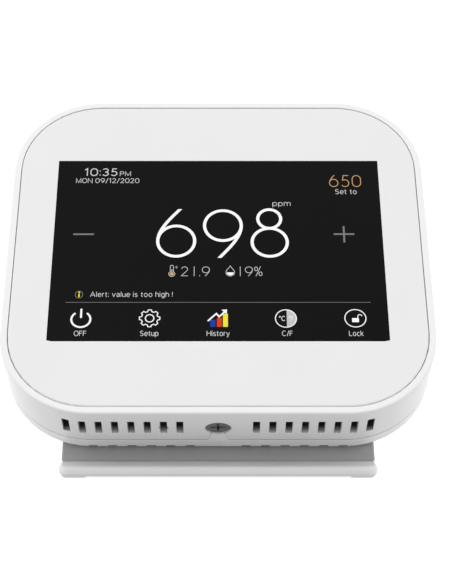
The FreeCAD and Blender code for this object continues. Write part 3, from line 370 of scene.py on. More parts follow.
SIX = (0.69, [bezier((0.404, 1.0), (0.201, 0.76), (0.032, 0.564), (0.032, 0.34))],
       [ellipse((0.3455, 0.3403), (0.3135, 0.31))])
SIGNS = {
    "0": (0.69, [], [arc((0.345, 0.64), (0.31, 0.33), 0, 180)
                     + arc((0.345, 0.36), (0.31, 0.33), 180, 360)]),
    "|": (0, [[(0, 0), (0, 1)]], []),
    "1": (0.32, [[(0, 0.8), (0.22, 1), (0.22, 0)]], []),
    "2": (0.62, [arc((0.31, 0.715), (0.26, 0.255), 165, -28, 28) + [(0.04, 0.03), (0.6, 0.03)]], []),
    "3": (0.6, [arc((0.29, 0.745), (0.24, 0.225), 155, -90)
                + arc((0.29, 0.265), (0.27, 0.235), 90, -155)], []),
    "5": (0.6, [[(0.56, 0.97), (0.18, 0.97), (0.11, 0.55)]
                + arc((0.29, 0.32), (0.28, 0.29), 128, -145, 32)], []),
    "6": SIX,
    "8": (0.656, [], [ellipse((0.328, 0.797), (0.196, 0.194)),
                      ellipse((0.328, 0.315), (0.298, 0.285))]),
    "9": turned(SIX),
    "A": (0.76, [[(0, 0), (0.38, 1), (0.76, 0)], [(0.13, 0.33), (0.63, 0.33)]], []),
    "C": (0.78, [arc((0.42, 0.5), (0.4, 0.49), 48, 312)], []),
    "F": (0.54, [[(0.54, 0.97), (0, 0.97), (0, 0)], [(0, 0.52), (0.48, 0.52)]], []),
    "H": (0.68, [[(0, 0), (0, 1)], [(0.68, 0), (0.68, 1)], [(0, 0.52), (0.68, 0.52)]], []),
    "L": (0.48, [[(0, 1), (0, 0.03), (0.48, 0.03)]], []),
    "M": (0.8, [[(0, 0), (0, 1), (0.4, 0.1), (0.8, 1), (0.8, 0)]], []),
    "N": (0.7, [[(0, 0), (0, 1), (0.7, 0), (0.7, 1)]], []),
    "O": (0.84, [], [ellipse((0.42, 0.5), (0.4, 0.49))]),
    "P": (0.58, [[(0, 0), (0, 0.97)] + arc((0.3, 0.725), (0.27, 0.245), 90, -90) + [(0, 0.48)]], []),
    "S": (0.58, [arc((0.29, 0.75), (0.24, 0.235), 30, 270)
                 + arc((0.29, 0.265), (0.26, 0.25), 90, -150)], []),
    "a": (0.5, [arc((0.25, 0.5), (0.2, 0.23), 160, 0, 16) + [(0.45, 0)],
                [(0.45, 0.42)] + arc((0.23, 0.2), (0.2, 0.2), 90, 270, 16) + [(0.45, 0.13)]], []),
    "c": (0.48, [arc((0.27, SMALL / 2), (0.25, SMALL / 2), 50, 310)], []),
    "e": (0.52, [[(0.03, 0.37)] + arc((0.27, SMALL / 2), (0.25, SMALL / 2), 0, 312)], []),
    "g": (0.52, [[(0.52, SMALL), (0.52, 0)] + arc((0.29, -0.04), (0.23, 0.22), 0, -150, 16)],
          [SMALL_RING]),
    "h": (0.46, [TALL_STEM, arch(0, 0.46)], []),
    "i": (0.02, [STEM, [(0, 0.9), (0, 1.03)]], []),
    "k": (0.44, [TALL_STEM, [(0.42, SMALL), (0, 0.27)], [(0.14, 0.42), (0.44, 0)]], []),
    "l": (0.02, [TALL_STEM], []),
    "m": (0.8, [STEM, arch(0, 0.4), arch(0.4, 0.8)], []),
    "o": (0.54, [], [SMALL_RING]),
    "p": (0.54, [[(0, -0.28), (0, SMALL)]], [SMALL_RING]),
    "r": (0.26, [STEM, [(0, 0.4)] + arc((0.24, 0.46), (0.24, SMALL - 0.46), 180, 85, 10)], []),
    "s": (0.42, [arc((0.21, 0.54), (0.17, 0.17), 30, 270, 16)
                 + arc((0.21, 0.19), (0.19, 0.18), 90, -150, 16)], []),
    "t": (0.3, [[(0.12, 0.93), (0.12, 0.15)] + arc((0.25, 0.15), (0.13, 0.13), 180, 280, 10),
                [(0, 0.7), (0.28, 0.7)]], []),
    "u": (0.46, [[(0, SMALL), (0, 0.25)] + arc((0.23, 0.25), (0.23, 0.23), 180, 360, 14)
                 + [(0.46, SMALL)], [(0.46, 0.3), (0.46, 0)]], []),
    "v": (0.5, [[(0, SMALL), (0.25, 0), (0.5, SMALL)]], []),
    "y": (0.5, [[(0, SMALL), (0.26, 0.02)], [(0.5, SMALL), (0.22, -0.18), (0.06, -0.26)]], []),
    ":": (0.04, [[(0.02, 0.05), (0.02, 0.17)], [(0.02, 0.6), (0.02, 0.72)]], []),
    "/": (0.4, [[(0, -0.06), (0.4, 1.04)]], []),
    ".": (0.06, [[(0.03, 0), (0.03, 0.1)]], []),
    "!": (0.04, [[(0.02, 0.3), (0.02, 1)], [(0.02, 0), (0.02, 0.12)]], []),
    "%": (0.9, [[(0.18, 0), (0.72, 1)]],
          [ellipse((0.2, 0.76), (0.18, 0.2), 20), ellipse((0.7, 0.24), (0.18, 0.2), 20)]),
    "°": (0.3, [], [ellipse((0.15, 0.86), (0.13, 0.13), 16)]),
    " ": (0.16, [], []),
}
SPACING = 0.2                 # between one sign and the next


def placed(name, left, base, size):
    """A sign's open lines and its rings; size is the width and height of one unit."""
    return [[[(left + x * size[0], base + z * size[1]) for x, z in line] for line in group]
            for group in SIGNS[name][1:]]


def sign(drawing, name, left, base, size, stroke):
    """Draws one sign."""
    lines, rings = placed(name, left, base, size)
    for line in lines:
        drawing.stroke(line, stroke)
    for ring in rings:
        drawing.stroke(ring, stroke, closed=True)
    drawing.settle()


def words(drawing, text, span, base, height, stroke):
    """Writes a line of text between a left and a right limit, its capitals height tall."""
    natural = sum(SIGNS[name][0] for name in text) + SPACING * (len(text) - 1)
    across = (span[1] - span[0] - stroke) / natural
    left = span[0] + stroke / 2
    for name in text:
        sign(drawing, name, left, base, (across, height), stroke)
        left += (SIGNS[name][0] + SPACING) * across


def trimmed(drawing, name, left, base, height, stroke):
    """Draws a large sign whose free end is cut off level."""
    lines, rings = placed(name, left, base, (height, height))
    for ring in rings:
        drawing.stroke(ring, stroke, closed=True)
    for line in lines:
        sides = ribbon_sides([Vector(point) for point in line], stroke, False)
        tip = line[0][1]
        for side in sides:
            inner = side[1]
            slope = (side[0] - inner) / (side[0].y - inner.y)
            side[0] = inner + slope * (tip - inner.y)
        pairs = list(zip(*sides))
        for (left_start, right_start), (left_end, right_end) in zip(pairs, pairs[1:]):
            drawing.polygon([left_start, right_start, right_end, left_end])
    drawing.settle()


def draw_screen():
    """Every lit shape of the display, one piece to a colour."""
    white, soft, grey, amber, blue, red, yellow, pale = [Drawing() for _ in range(8)]

    # the reading, its unit and the two small readings under it
    for name, left in (("6", -15.9), ("9", -3.97), ("8", 8.2)):
        trimmed(white, name, left, -3.1, 15.04, 0.8)
    words(soft, "ppm", (14.05, 18.75), 12.98, 1.55, 0.14)
    small_readings(soft, white, amber)

    # clock, date and set point
    words(soft, "10:35", (-35.1, -26.4), 22.66, 2.35, 0.26)
    words(soft, "PM", (-25.8, -22.9), 22.59, 1.45, 0.15)
    words(soft, "MON 09/12/2020", (-37.2, -20.6), 20.35, 1.45, 0.15)
    words(amber, "650", (28.9, 37.5), 19.04, 3.8, 0.2)
    words(soft, "Set to", (30.4, 36.1), 16.8, 1.48, 0.15)

    # set-point keys
    grey.stroke([(-37.06, 4.1), (-31.75, 4.1)], 0.46)
    grey.stroke([(29.51, 4.15), (34.81, 4.15)], 0.46)
    grey.stroke([(32.16, 1.6), (32.16, 6.6)], 0.46)

    # message line and the rule under it
    grey.stroke(ellipse((-34.66, -14.05), (0.92, 1.0), 32), 0.15, closed=True)
    yellow.stroke([(-34.64, -14.82), (-34.64, -13.8)], 0.34)
    yellow.polygon(ellipse((-34.64, -13.4), (0.22, 0.22), 16))
    words(soft, "Alert: value is too high !", (-31.9, -11.3), -14.7, 1.4, 0.14)
    grey.stroke([(-37.9, -16.34), (37.85, -16.34)], 0.12)

    power_key(white, -33.84)
    gear_key(white, -16.9)
    history_key(white, blue, red, yellow)
    scale_key(white, pale, 16.7)
    lock_key(white, 33.83)
    labels = (("OFF", -33.84, 3.1), ("Setup", -16.9, 4.6), ("History", 0.0, 5.65),
              ("C/F", 16.95, 2.7), ("Lock", 33.83, 3.55))
    for text, middle, width in labels:
        words(soft, text, (middle - width / 2, middle + width / 2), -25.95, 1.4, 0.15)

    white.build("screen_white", glow("lit_white", (1, 1, 1)))
    soft.build("screen_lettering", glow("lit_soft_white", (0.66, 0.66, 0.66)))
    grey.build("screen_grey", glow("lit_grey", (0.21, 0.21, 0.21)))
    amber.build("screen_amber", glow("lit_amber", (0.66, 0.37, 0.16)))
    blue.build("screen_blue", glow("lit_blue", (0.012, 0.05, 0.38)))
    red.build("screen_red", glow("lit_red", (0.78, 0.045, 0.012)))
    yellow.build("screen_yellow", glow("lit_yellow", (0.88, 0.77, 0.05)))
    pale.build("screen_pale", glow("lit_pale", (0.55, 0.55, 0.57)), layer=-1)


def small_readings(soft, white, amber):
    """Temperature and humidity under the big reading, with their icons."""
    base, tall, wide, line = -8.6, 2.85, 2.9, 0.14
    for name, left in (("2", -9.36), ("|", -6.04), (".", -4.75), ("9", -4.1),
                       ("|", 5.55), ("9", 6.72)):
        sign(soft, name, left, base, (wide, tall), line)
    sign(soft, "%", 9.1, base, (2.2, tall), line)
    sign(soft, "°", -10.7, base + 0.6, (1.3, 2.4), 0.08)

    # thermometer: a glass outline over an amber bulb and column
    middle, bulb, round_bulb = -11.65, -7.95, 0.76
    tube = arc((middle, -5.75), (0.4, 0.4), 0, 180, 12)
    bowl = arc((middle, bulb), (round_bulb, round_bulb), 121, 419, 28)
    soft.stroke(tube + bowl, 0.14, closed=True)
    amber.polygon(ellipse((middle, bulb), (0.5, 0.5), 24))
    amber.stroke([(middle, bulb), (middle, -6.6)], 0.3)

    # water drop, half full
    drop, low, around = 3.03, -7.5, 1.08
    outline = arc((drop, low), (around, around), 148, 392, 32)
    soft.stroke(outline + [(drop, -5.55)], 0.14, closed=True)
    white.polygon(arc((drop, low), (around - 0.2, around - 0.2), 180, 360, 24))


def power_key(white, x):
    """Broken ring with an upright bar."""
    line, bar = 0.48, ((x, -20.65), (x, -18.4))
    ring = arc((x, -21.25), (2.35, 2.22), 132, 408, 40)
    for open_line in (ring, bar):
        white.stroke(open_line, line)
        for end in (open_line[0], open_line[-1]):
            white.polygon(ellipse(end, (line / 2, line / 2), 16))


def gear_key(white, x):
    """Outline of an eight-toothed gear round a ring."""
    teeth, middle = 8, -20.95
    outline = []
    for tooth in range(teeth):
        for offset, radius in ((-15, 2.05), (-8.5, 2.55), (8.5, 2.55), (15, 2.05)):
            angle = math.radians(90 + tooth * 360 / teeth + offset)
            outline.append((x + radius * math.cos(angle), middle + 0.96 * radius * math.sin(angle)))
    white.stroke(outline, 0.24, closed=True)
    white.stroke(ellipse((x, middle), (1.05, 1.05), 32), 0.26, closed=True)


def history_key(white, blue, red, yellow):
    """Three bars under a rising arrow."""
    low = -23.4
    for drawing, left, right, top in ((blue, -1.97, -0.66, -21.35), (red, -0.32, 0.9, -20.85),
                                      (yellow, 1.18, 2.4, -19.65)):
        drawing.polygon([(left, low), (right, low), (right, top), (left, top)])
    white.stroke([(-2.55, -21.75), (-0.45, -19.6), (0.25, -20.5), (1.75, -18.95)], 0.4)
    white.polygon([(2.2, -18.4), (2.1, -19.75), (0.8, -18.5)])


def scale_key(white, pale, x):
    """Ring split between the two temperature scales."""
    middle, radii = -21.0, (2.58, 2.5)
    white.stroke(ellipse((x, middle), radii), 0.24, closed=True)
    pale.polygon(arc((x, middle), [radius - 0.1 for radius in radii], -85, 85, 32))
    words(white, "°C", (x - 1.72, x - 0.1), middle - 0.65, 1.3, 0.12)
    words(white, "°F", (x + 0.65, x + 1.95), middle - 0.65, 1.3, 0.1)


def lock_key(white, x):
    """Ring round an open padlock."""
    middle = -20.93
    white.stroke(ellipse((x, middle), (2.6, 2.5)), 0.24, closed=True)
    low, high = middle - 1.12, middle + 0.04
    white.polygon([(x - 0.84, low), (x + 0.84, low), (x + 0.84, high), (x - 0.84, high)])
    white.stroke([(x + 0.62, high - 0.1)] + arc((x + 1.12, high + 0.5), (0.5, 0.5), 180, 10, 14), 0.21)


draw_screen()


# ---- clean shells ----
# The four shells that the eye meets first are remade from clean faces with fine bevels.
# Their points are millimetres in the head's axes, from the middle of the face.

def both_sides(distances):
    """Distances from the middle to the left and to the right."""
    right = list(distances)
    return [-distance for distance in right] + right


CASE_WIDTH = (case_high.x - case_low.x) / MM
CASE_HEIGHT = (case_high.z - case_low.z) / MM
CASE_RADIUS = 22.35
REACH_X = CASE_WIDTH / 2 - CASE_RADIUS     # middles of the corners' round
REACH_Z = CASE_HEIGHT / 2 - CASE_RADIUS
BOTTOM = -CASE_HEIGHT / 2
WALL = 2.0
SEAM_FRONT = 13.8
BEVEL = 0.1
ROUNDING_ANGLES = [math.radians(part) for part in range(0, 91, 15)]

RIM_ROUNDING = 0.5
RECESS_INSET = 1.8            # the recess that takes the front panel
LEDGE_INSET = 4.5             # the ledge under the panel reaches this far in
LEDGE_SPAN = (1.6, 3.0)
VENT_WALL = 3.0
VENT_SPAN = (4.4, 10.45)
VENT_HALF = 0.865
VENT_START = 9.25             # middle of the first vent on each side
VENT_PITCH = 3.93
VENT_MIDDLES = both_sides(VENT_START + VENT_PITCH * index for index in range(8))
BLOCK_SPAN = (8.2, 38.3)      # the bottom wall is thicker between these distances from the middle
BLOCK_SLOPE = 0.6             # the thicker wall's ends slope over this distance
BLOCK_REAR = (11.9, 12.4)     # and its rear slopes between these depths
PINHOLE = (-(VENT_START + VENT_PITCH), 7.75, 1.25)     # across, depth and radius
SCREW_PLACE = (8.1, 3.22)     # depth and radius of the screw's seat
NOTCH_EDGE = 7.9              # half the width of the flat patch round the screw
NOTCH_GAP = 0.12              # between the notch and the cover's tab
SOCKET_STOPS = (-14.0, -8.0, -2.0)
SOCKET_DEPTH = 8.4
SOCKET_ROUND = 1.9
SOCKET_STRAIGHT = 2.87

REAR_VENT_HALF = 1.1
REAR_VENT_START = 6.9
REAR_VENT_PITCH = 4.8
REAR_VENT_MIDDLES = both_sides(REAR_VENT_START + REAR_VENT_PITCH * index for index in range(6))
REAR_VENT_TOP = -38.0
COVER_FRONT = 14.0
COVER_ROUNDING = 2.0
COVER_BACK = 19.1
COVER_INSIDE = 17.3
LIP_FRONT = 12.5
LIP_INSET = 2.05
STEP_INSET = 0.7
COVER_WALL = 3.0
CORNER_STOPS = (34.2, 36.6, 39.0)     # more points of the outline where its corners start
TAB_HALF = 2.43               # half the tab's width where it leaves the cover
TAB_LIP_HALF = 2.0
TAB_WIDTH = (13.9, 4.75)      # a depth at the tab's root and the tab's width there
TAB_TAPER = 0.536             # the tab narrows this much for each millimetre forward

# A face's tone: the slot's finish, black painted shade inside, vent wall painted darker inward as shade, or seam
# step painted grey as shade.
PLAIN, SHADE_BLACK, VENT_SHADE, SEAM = range(4)


def painted_vent_shade(name, deep):
    """Vent walls, white at the mouth and painted darker towards the inside: painted shade of the slot's depth."""
    material = surface(name, SHELL_WHITE, 0.6, shade=0.02)
    tree = material.node_tree
    up = HEAD.to_3x3() @ Vector((0, 0, 1))
    mouth = up.dot(FACE_MIDDLE) + BOTTOM * MM
    height = tree.nodes.new("ShaderNodeVectorMath")
    height.operation = "DOT_PRODUCT"
    feed(tree, height.inputs[0], new_node(tree, "TexCoord").outputs["Object"])
    feed(tree, height.inputs[1], up)
    share = new_node(tree, "MapRange", Value=height.outputs["Value"], From_Min=mouth,
                     From_Max=mouth + deep * MM, To_Min=1.0, To_Max=0.0).outputs["Result"]
    colours = between(tree, share, ((0.05, 0.05, 0.05), SHELL_WHITE))
    feed_all(tree, tree.nodes["Principled BSDF"], Base_Color=colours)
    return material


# Vent walls darken towards the inside as painted shade of the slots.
VENT_PAINTED_SHADE = painted_vent_shade("vent_wall_painted_shade", 2.2)
# The seam step's grey is painted shade of the narrow gap.
SEAM_PAINTED_SHADE = surface("seam_painted_shade", (0.42, 0.42, 0.42), 0.8, shade=0.05)


class Shell:
    """Mesh of faces that share a point wherever their corners agree."""

    def __init__(self):
        self.places = {}
        self.faces = []
        self.tones = []

    def face(self, corners, tone=PLAIN):
        """Adds a face in one of the tones."""
        face = []
        for corner in corners:
            key = tuple(round(part, 4) for part in corner)
            number = self.places.setdefault(key, len(self.places))
            if number not in face:
                face.append(number)
        if len(face) > 2:
            self.faces.append(face)
            self.tones.append(tone)

    def rings(self, rows, left_out=lambda middle: False, closed=True):
        """Quads between following outlines; a row is (outline, depth, tone)."""
        for row in range(len(rows) - (not closed)):
            near, depth, tone = rows[row]
            far, far_depth, _ = rows[(row + 1) % len(rows)]
            for index in range(len(near)):
                following = (index + 1) % len(near)
                corners = [(near[index][0], depth, near[index][1]),
                           (near[following][0], depth, near[following][1]),
                           (far[following][0], far_depth, far[following][1]),
                           (far[index][0], far_depth, far[index][1])]
                middle = sum((Vector(corner) for corner in corners), Vector()) / 4
                if not left_out(middle):
                    self.face(corners, tone)

    def level(self, path, height, tone=PLAIN):
        """Flat face at one height, its points given as (x, depth)."""
        self.face([(x, depth, height) for x, depth in path], tone)

    def upright(self, outline, depth, tone=PLAIN):
        """Flat face at one depth, its points given as (x, height)."""
        self.face([(x, depth, z) for x, z in outline], tone)

    def curtain(self, path, low, high, tone=PLAIN):
        """Upright walls along a path of (x, depth) between two heights."""
        for start, end in zip(path, path[1:]):
            self.face([(*start, low), (*end, low), (*end, high), (*start, high)], tone)

    def build(self, node, bevel=BEVEL):
        """The finished shell, which stands for a CAD node and moves with the head."""
        verts = [Vector(place) * MM for place in self.places]
        piece = piece_from(node + "_shell", verts, self.faces, HEAD)
        slot = next(entry["material_slot"] for entry in frame["record"]["subparts"]
                    if entry["node"] == node)
        for material in (FINISHES[slot], INSIDE_PAINTED_SHADE, VENT_PAINTED_SHADE, SEAM_PAINTED_SHADE)[:max(self.tones) + 1]:
            piece.data.materials.append(material)
        for polygon, tone in zip(piece.data.polygons, self.tones):
            polygon.material_index = tone
            polygon.use_smooth = True
        tidy_normals(piece)
        soften(piece, bevel)
        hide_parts(node)
        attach(piece, "head")


def soften(piece, width):
    """Rounds the sharp edges a little and evens the shading round them."""
    round_over = piece.modifiers.new("fine_bevel", "BEVEL")
    round_over.width = width * MM
    round_over.segments = 2
    round_over.limit_method = "ANGLE"
    round_over.angle_limit = math.radians(35)
    even = piece.modifiers.new("even_normals", "WEIGHTED_NORMAL")
    even.keep_sharp = True


def bottom_stops(vents, half, others):
    """Where the outline's bottom side has points: the vents' edges and other places."""
    edges = [middle + side * half for middle in vents for side in (-1, 1)]
    return sorted(edges + both_sides(others))


def case_outline(inset, stops, side_stops=()):
    """Head's outline set in by a distance, anticlockwise from the bottom side's first stop."""
    radius = CASE_RADIUS - inset
    points = []
    for x in stops:
        past = max(0.0, abs(x) - REACH_X)
        points.append((x, -REACH_Z - math.sqrt(radius ** 2 - past ** 2)))
    start = math.degrees(math.asin((stops[-1] - REACH_X) / radius))
    round_points = (radius, radius)
    points += arc((REACH_X, -REACH_Z), round_points, start - 90, 0, 9)[1:]
    points += [(REACH_X + radius, z) for z in side_stops]
    points += arc((REACH_X, REACH_Z), round_points, 0, 90, 12)
    points += arc((-REACH_X, REACH_Z), round_points, 90, 180, 12)
    points += [(-REACH_X - radius, z) for z in reversed(side_stops)]
    points += arc((-REACH_X, -REACH_Z), round_points, 180, 270 - start, 9)[:-1]
    return points


def rounded_edge(outline, rounding):
    """Rows that round an edge from the front face to the side."""
    return [(outline(rounding * (1 - math.sin(a))), rounding * (1 - math.cos(a)), PLAIN)
            for a in ROUNDING_ANGLES]


def tab_half(depth):
    """Half the width of the back cover's tab, which narrows towards the screw."""
    root, width = TAB_WIDTH
    return (width - TAB_TAPER * (root - depth)) / 2


def seat_angle(gap):
    """Angle from the rear at which the tab's flank meets the screw's seat."""
    depth, radius = SCREW_PLACE
    low, high = 0.0, math.pi / 2
    for _ in range(30):
        turn = (low + high) / 2
        if radius * math.sin(turn) < tab_half(depth + radius * math.cos(turn)) + gap:
            low = turn
        else:
            high = turn
    return low


def seat_point(turn):
    """Point of the screw's seat at an angle from the rear, as (x, depth)."""
    depth, radius = SCREW_PLACE
    return radius * math.sin(turn), depth + radius * math.cos(turn)


def make_housing():
    """Rim, side walls, ledge, bottom vents, screw notch and power window."""
    shell = Shell()
    others = (NOTCH_EDGE, BLOCK_SPAN[1], BLOCK_SPAN[1] + BLOCK_SLOPE)
    stops = bottom_stops(VENT_MIDDLES, VENT_HALF, others)
    outline = lambda inset: case_outline(inset, stops, SOCKET_STOPS)
    wall, block = outline(WALL), outline(VENT_WALL)
    thick = [index < len(stops) and BLOCK_SPAN[0] < abs(stops[index]) <= BLOCK_SPAN[1]
             for index in range(len(wall))]
    inner = [inside if deep else outside for inside, outside, deep in zip(block, wall, thick)]
    ledge, recess = outline(LEDGE_INSET), outline(RECESS_INSET)
    rows = rounded_edge(outline, RIM_ROUNDING)
    rows += [(outline(0), depth, PLAIN) for depth in (*VENT_SPAN, SEAM_FRONT)]
    rows += [(wall, SEAM_FRONT, SHADE_BLACK), (wall, BLOCK_REAR[1], SHADE_BLACK), (inner, BLOCK_REAR[0], SHADE_BLACK),
             (inner, VENT_SPAN[1], SHADE_BLACK), (inner, VENT_SPAN[0], SHADE_BLACK),
             (inner, LEDGE_SPAN[1], SHADE_BLACK), (ledge, LEDGE_SPAN[1], SHADE_BLACK),
             (ledge, LEDGE_SPAN[0], PLAIN), (recess, LEDGE_SPAN[0], PLAIN), (recess, 0.0, PLAIN)]
    shell.rings(rows, housing_opening)
    for middle in VENT_MIDDLES:
        add_vent(shell, middle, stops)
    add_notch(shell)
    add_socket_window(shell)
    shell.build("housing")


def housing_opening(middle):
    """Whether a cell of the housing's wall is left out for an opening."""
    if middle.x > REACH_X + CASE_RADIUS / 2 and VENT_SPAN[0] < middle.y < VENT_SPAN[1]:
        return SOCKET_STOPS[0] < middle.z < SOCKET_STOPS[2]
    if middle.z > REAR_VENT_TOP or middle.y < VENT_SPAN[0]:
        return False          # not on the bottom side, or in front of its openings
    if abs(middle.x) < NOTCH_EDGE:
        return True
    beside_pinhole = abs(middle.x - PINHOLE[0]) < VENT_PITCH - VENT_HALF
    in_vent = any(abs(middle.x - vent) < VENT_HALF for vent in VENT_MIDDLES)
    return middle.y < VENT_SPAN[1] and (beside_pinhole or in_vent)


def add_vent(shell, middle, stops):
    """Walls of one vent; the one with the pinhole bulges and has its own neighbours."""
    sides = (middle - VENT_HALF, middle + VENT_HALF)
    near, far = VENT_SPAN
    if middle != PINHOLE[0]:
        corners = [(sides[0], near), (sides[1], near), (sides[1], far), (sides[0], far)]
        heights = [[case_outline(inset, stops)[stops.index(x)][1] for x, _ in corners]
                   for inset in (0, VENT_WALL)]
        for index in range(4):
            following = (index + 1) % 4
            shell.face([(*corners[index], heights[0][index]),
                        (*corners[following], heights[0][following]),
                        (*corners[following], heights[1][following]),
                        (*corners[index], heights[1][index])], VENT_SHADE)
        return
    swing = math.degrees(math.acos(VENT_HALF / PINHOLE[2]))
    right = arc(PINHOLE[:2], (PINHOLE[2], PINHOLE[2]), -swing, swing, 8)
    left = arc(PINHOLE[:2], (PINHOLE[2], PINHOLE[2]), 180 - swing, 180 + swing, 8)
    ring = [(sides[0], near), (sides[1], near)] + right + [(sides[1], far), (sides[0], far)] + left
    shell.curtain(ring + ring[:1], BOTTOM, BOTTOM + VENT_WALL, VENT_SHADE)
    beside = VENT_PITCH - VENT_HALF
    for height, tone in ((BOTTOM, PLAIN), (BOTTOM + VENT_WALL, SHADE_BLACK)):
        flat = [(sides[1], near), (middle + beside, near), (middle + beside, far), (sides[1], far)]
        shell.level(flat + right[::-1], height, tone)
        flat = [(sides[0], far), (middle - beside, far), (middle - beside, near), (sides[0], near)]
        shell.level(flat + left[::-1], height, tone)


def add_notch(shell):
    """Flat patch round the screw's seat and the slot for the back cover's tab."""
    meets, steps = seat_angle(NOTCH_GAP), 28
    turns = [meets + (2 * math.pi - 2 * meets) * step / steps for step in range(steps + 1)]
    slot_half = tab_half(SEAM_FRONT) + NOTCH_GAP
    path = [(slot_half, SEAM_FRONT)] + [seat_point(turn) for turn in turns]
    path.append((-slot_half, SEAM_FRONT))
    inside = BOTTOM + WALL
    shell.curtain(path, BOTTOM, inside)
    near, far = VENT_SPAN
    for height, depths, tone in ((BOTTOM, (far,), PLAIN), (inside, (far, *BLOCK_REAR), SHADE_BLACK)):
        patch = [(-NOTCH_EDGE, near), (NOTCH_EDGE, near)] + [(NOTCH_EDGE, depth) for depth in depths]
        patch += [(NOTCH_EDGE, SEAM_FRONT)] + path + [(-NOTCH_EDGE, SEAM_FRONT)]
        patch += [(-NOTCH_EDGE, depth) for depth in reversed(depths)]
        shell.level(patch, height, tone)
    for side in (-1, 1):
        shell.curtain([(side * slot_half, SEAM_FRONT), (side * NOTCH_EDGE, SEAM_FRONT)], BOTTOM, inside)


def add_socket_window(shell):
    """Rounded opening for the power plug in the right-hand wall."""
    near, far = VENT_SPAN
    low, middle, high = SOCKET_STOPS
    round_points = (SOCKET_ROUND, SOCKET_ROUND)
    lower = arc((SOCKET_DEPTH, middle - SOCKET_STRAIGHT), round_points, 180, 360, 12)
    upper = arc((SOCKET_DEPTH, middle + SOCKET_STRAIGHT), round_points, 0, 180, 12)
    left, right = (SOCKET_DEPTH - SOCKET_ROUND, middle), (SOCKET_DEPTH + SOCKET_ROUND, middle)
    below = [left] + lower + [right]
    above = [right] + upper + [left]
    outside, inside = CASE_WIDTH / 2, CASE_WIDTH / 2 - WALL
    for x, tone in ((outside, PLAIN), (inside, SHADE_BLACK)):
        patch = [(near, middle)] + below + [(far, middle), (far, low), (near, low)]
        shell.face([(x, y, z) for y, z in patch], tone)
        patch = [(far, middle)] + above + [(near, middle), (near, high), (far, high)]
        shell.face([(x, y, z) for y, z in patch], tone)
    ring = below + above[1:]
    for start, end in zip(ring, ring[1:]):
        shell.face([(outside, *start), (outside, *end), (inside, *end), (inside, *start)])


def make_back_cover():
    """Rear tray with its seam step, lip, screw tab and the vents over its lower edge."""
    shell = Shell()
    stops = bottom_stops(REAR_VENT_MIDDLES, REAR_VENT_HALF, (TAB_HALF, *CORNER_STOPS))
    outline = lambda inset: case_outline(inset, stops)
    start = COVER_BACK - COVER_ROUNDING
    rounding = [(COVER_ROUNDING * (1 - math.cos(a)), start + COVER_ROUNDING * math.sin(a))
                for a in [math.radians(part) for part in range(0, 91, 10)]]
    inside = [(COVER_WALL, COVER_INSIDE), (COVER_WALL, start), (COVER_WALL, LIP_FRONT),
              (LIP_INSET, LIP_FRONT), (LIP_INSET, SEAM_FRONT), (STEP_INSET, SEAM_FRONT),
              (STEP_INSET, COVER_FRONT), (0, COVER_FRONT)]
    # The cover's inside takes the black painted shade and its seam step the grey painted shade.
    tones = {COVER_WALL: SHADE_BLACK, STEP_INSET: SEAM}
    rows = [(outline(inset), depth, tones.get(inset, PLAIN)) for inset, depth in inside + rounding]
    shell.rings(rows, cover_opening, closed=False)
    for inset, depth, tone in ((COVER_ROUNDING, COVER_BACK, PLAIN),
                               (COVER_WALL, COVER_INSIDE, SHADE_BLACK)):
        add_cover_wall(shell, outline(inset), stops, depth, tone)
    for middle in REAR_VENT_MIDDLES:
        add_rear_vent(shell, middle, stops, rounding)
    add_tab(shell)
    shell.build("back_cover")


def in_rear_vent(x):
    """Whether a place across the cover lies in one of its vents."""
    return any(abs(x - vent) < REAR_VENT_HALF for vent in REAR_VENT_MIDDLES)


def cover_opening(middle):
    """Whether a cell of the cover's wall is left out for a vent or the tab's root."""
    if middle.z > REAR_VENT_TOP:
        return False
    if middle.y > COVER_BACK - COVER_ROUNDING and in_rear_vent(middle.x):
        return True
    # the tab's root leaves out every cell up to and including the flat front edge
    return abs(middle.x) < TAB_HALF and middle.y < COVER_FRONT + BEVEL / 2


def add_cover_wall(shell, ring, stops, depth, tone):
    """Flat back of the cover: one plate above the vents and a strip of cells between them."""
    bottom = ring[:len(stops)]
    for (x, z), (next_x, next_z) in zip(bottom, bottom[1:]):
        if not in_rear_vent((x + next_x) / 2):
            cell = [(x, z), (next_x, next_z), (next_x, REAR_VENT_TOP), (x, REAR_VENT_TOP)]
            shell.upright(cell, depth, tone)
    plate = ring[len(stops) - 1:] + ring[:1] + [(x, REAR_VENT_TOP) for x in stops]
    shell.upright(plate, depth, tone)


def add_rear_vent(shell, middle, stops, rounding):
    """Walls of one vent, from the bottom side round the lower edge into the back."""
    start = COVER_BACK - COVER_ROUNDING
    sides = (middle - REAR_VENT_HALF, middle + REAR_VENT_HALF)

    def height(inset, x):
        nearest = min(range(len(stops)), key=lambda index: abs(stops[index] - x))
        return case_outline(inset, stops)[nearest][1]

    for x in sides:
        wall = [(x, depth, height(inset, x)) for inset, depth in rounding]
        wall += [(x, COVER_BACK, REAR_VENT_TOP), (x, COVER_INSIDE, REAR_VENT_TOP),
                 (x, COVER_INSIDE, height(COVER_WALL, x)), (x, start, height(COVER_WALL, x))]
        shell.face(wall)
    front = [(x, start, height(0, x)) for x in sides]
    front += [(x, start, height(COVER_WALL, x)) for x in reversed(sides)]
    shell.face(front)
    top = [(x, COVER_BACK, REAR_VENT_TOP) for x in sides]
    shell.face(top + [(x, COVER_INSIDE, REAR_VENT_TOP) for x in reversed(sides)])


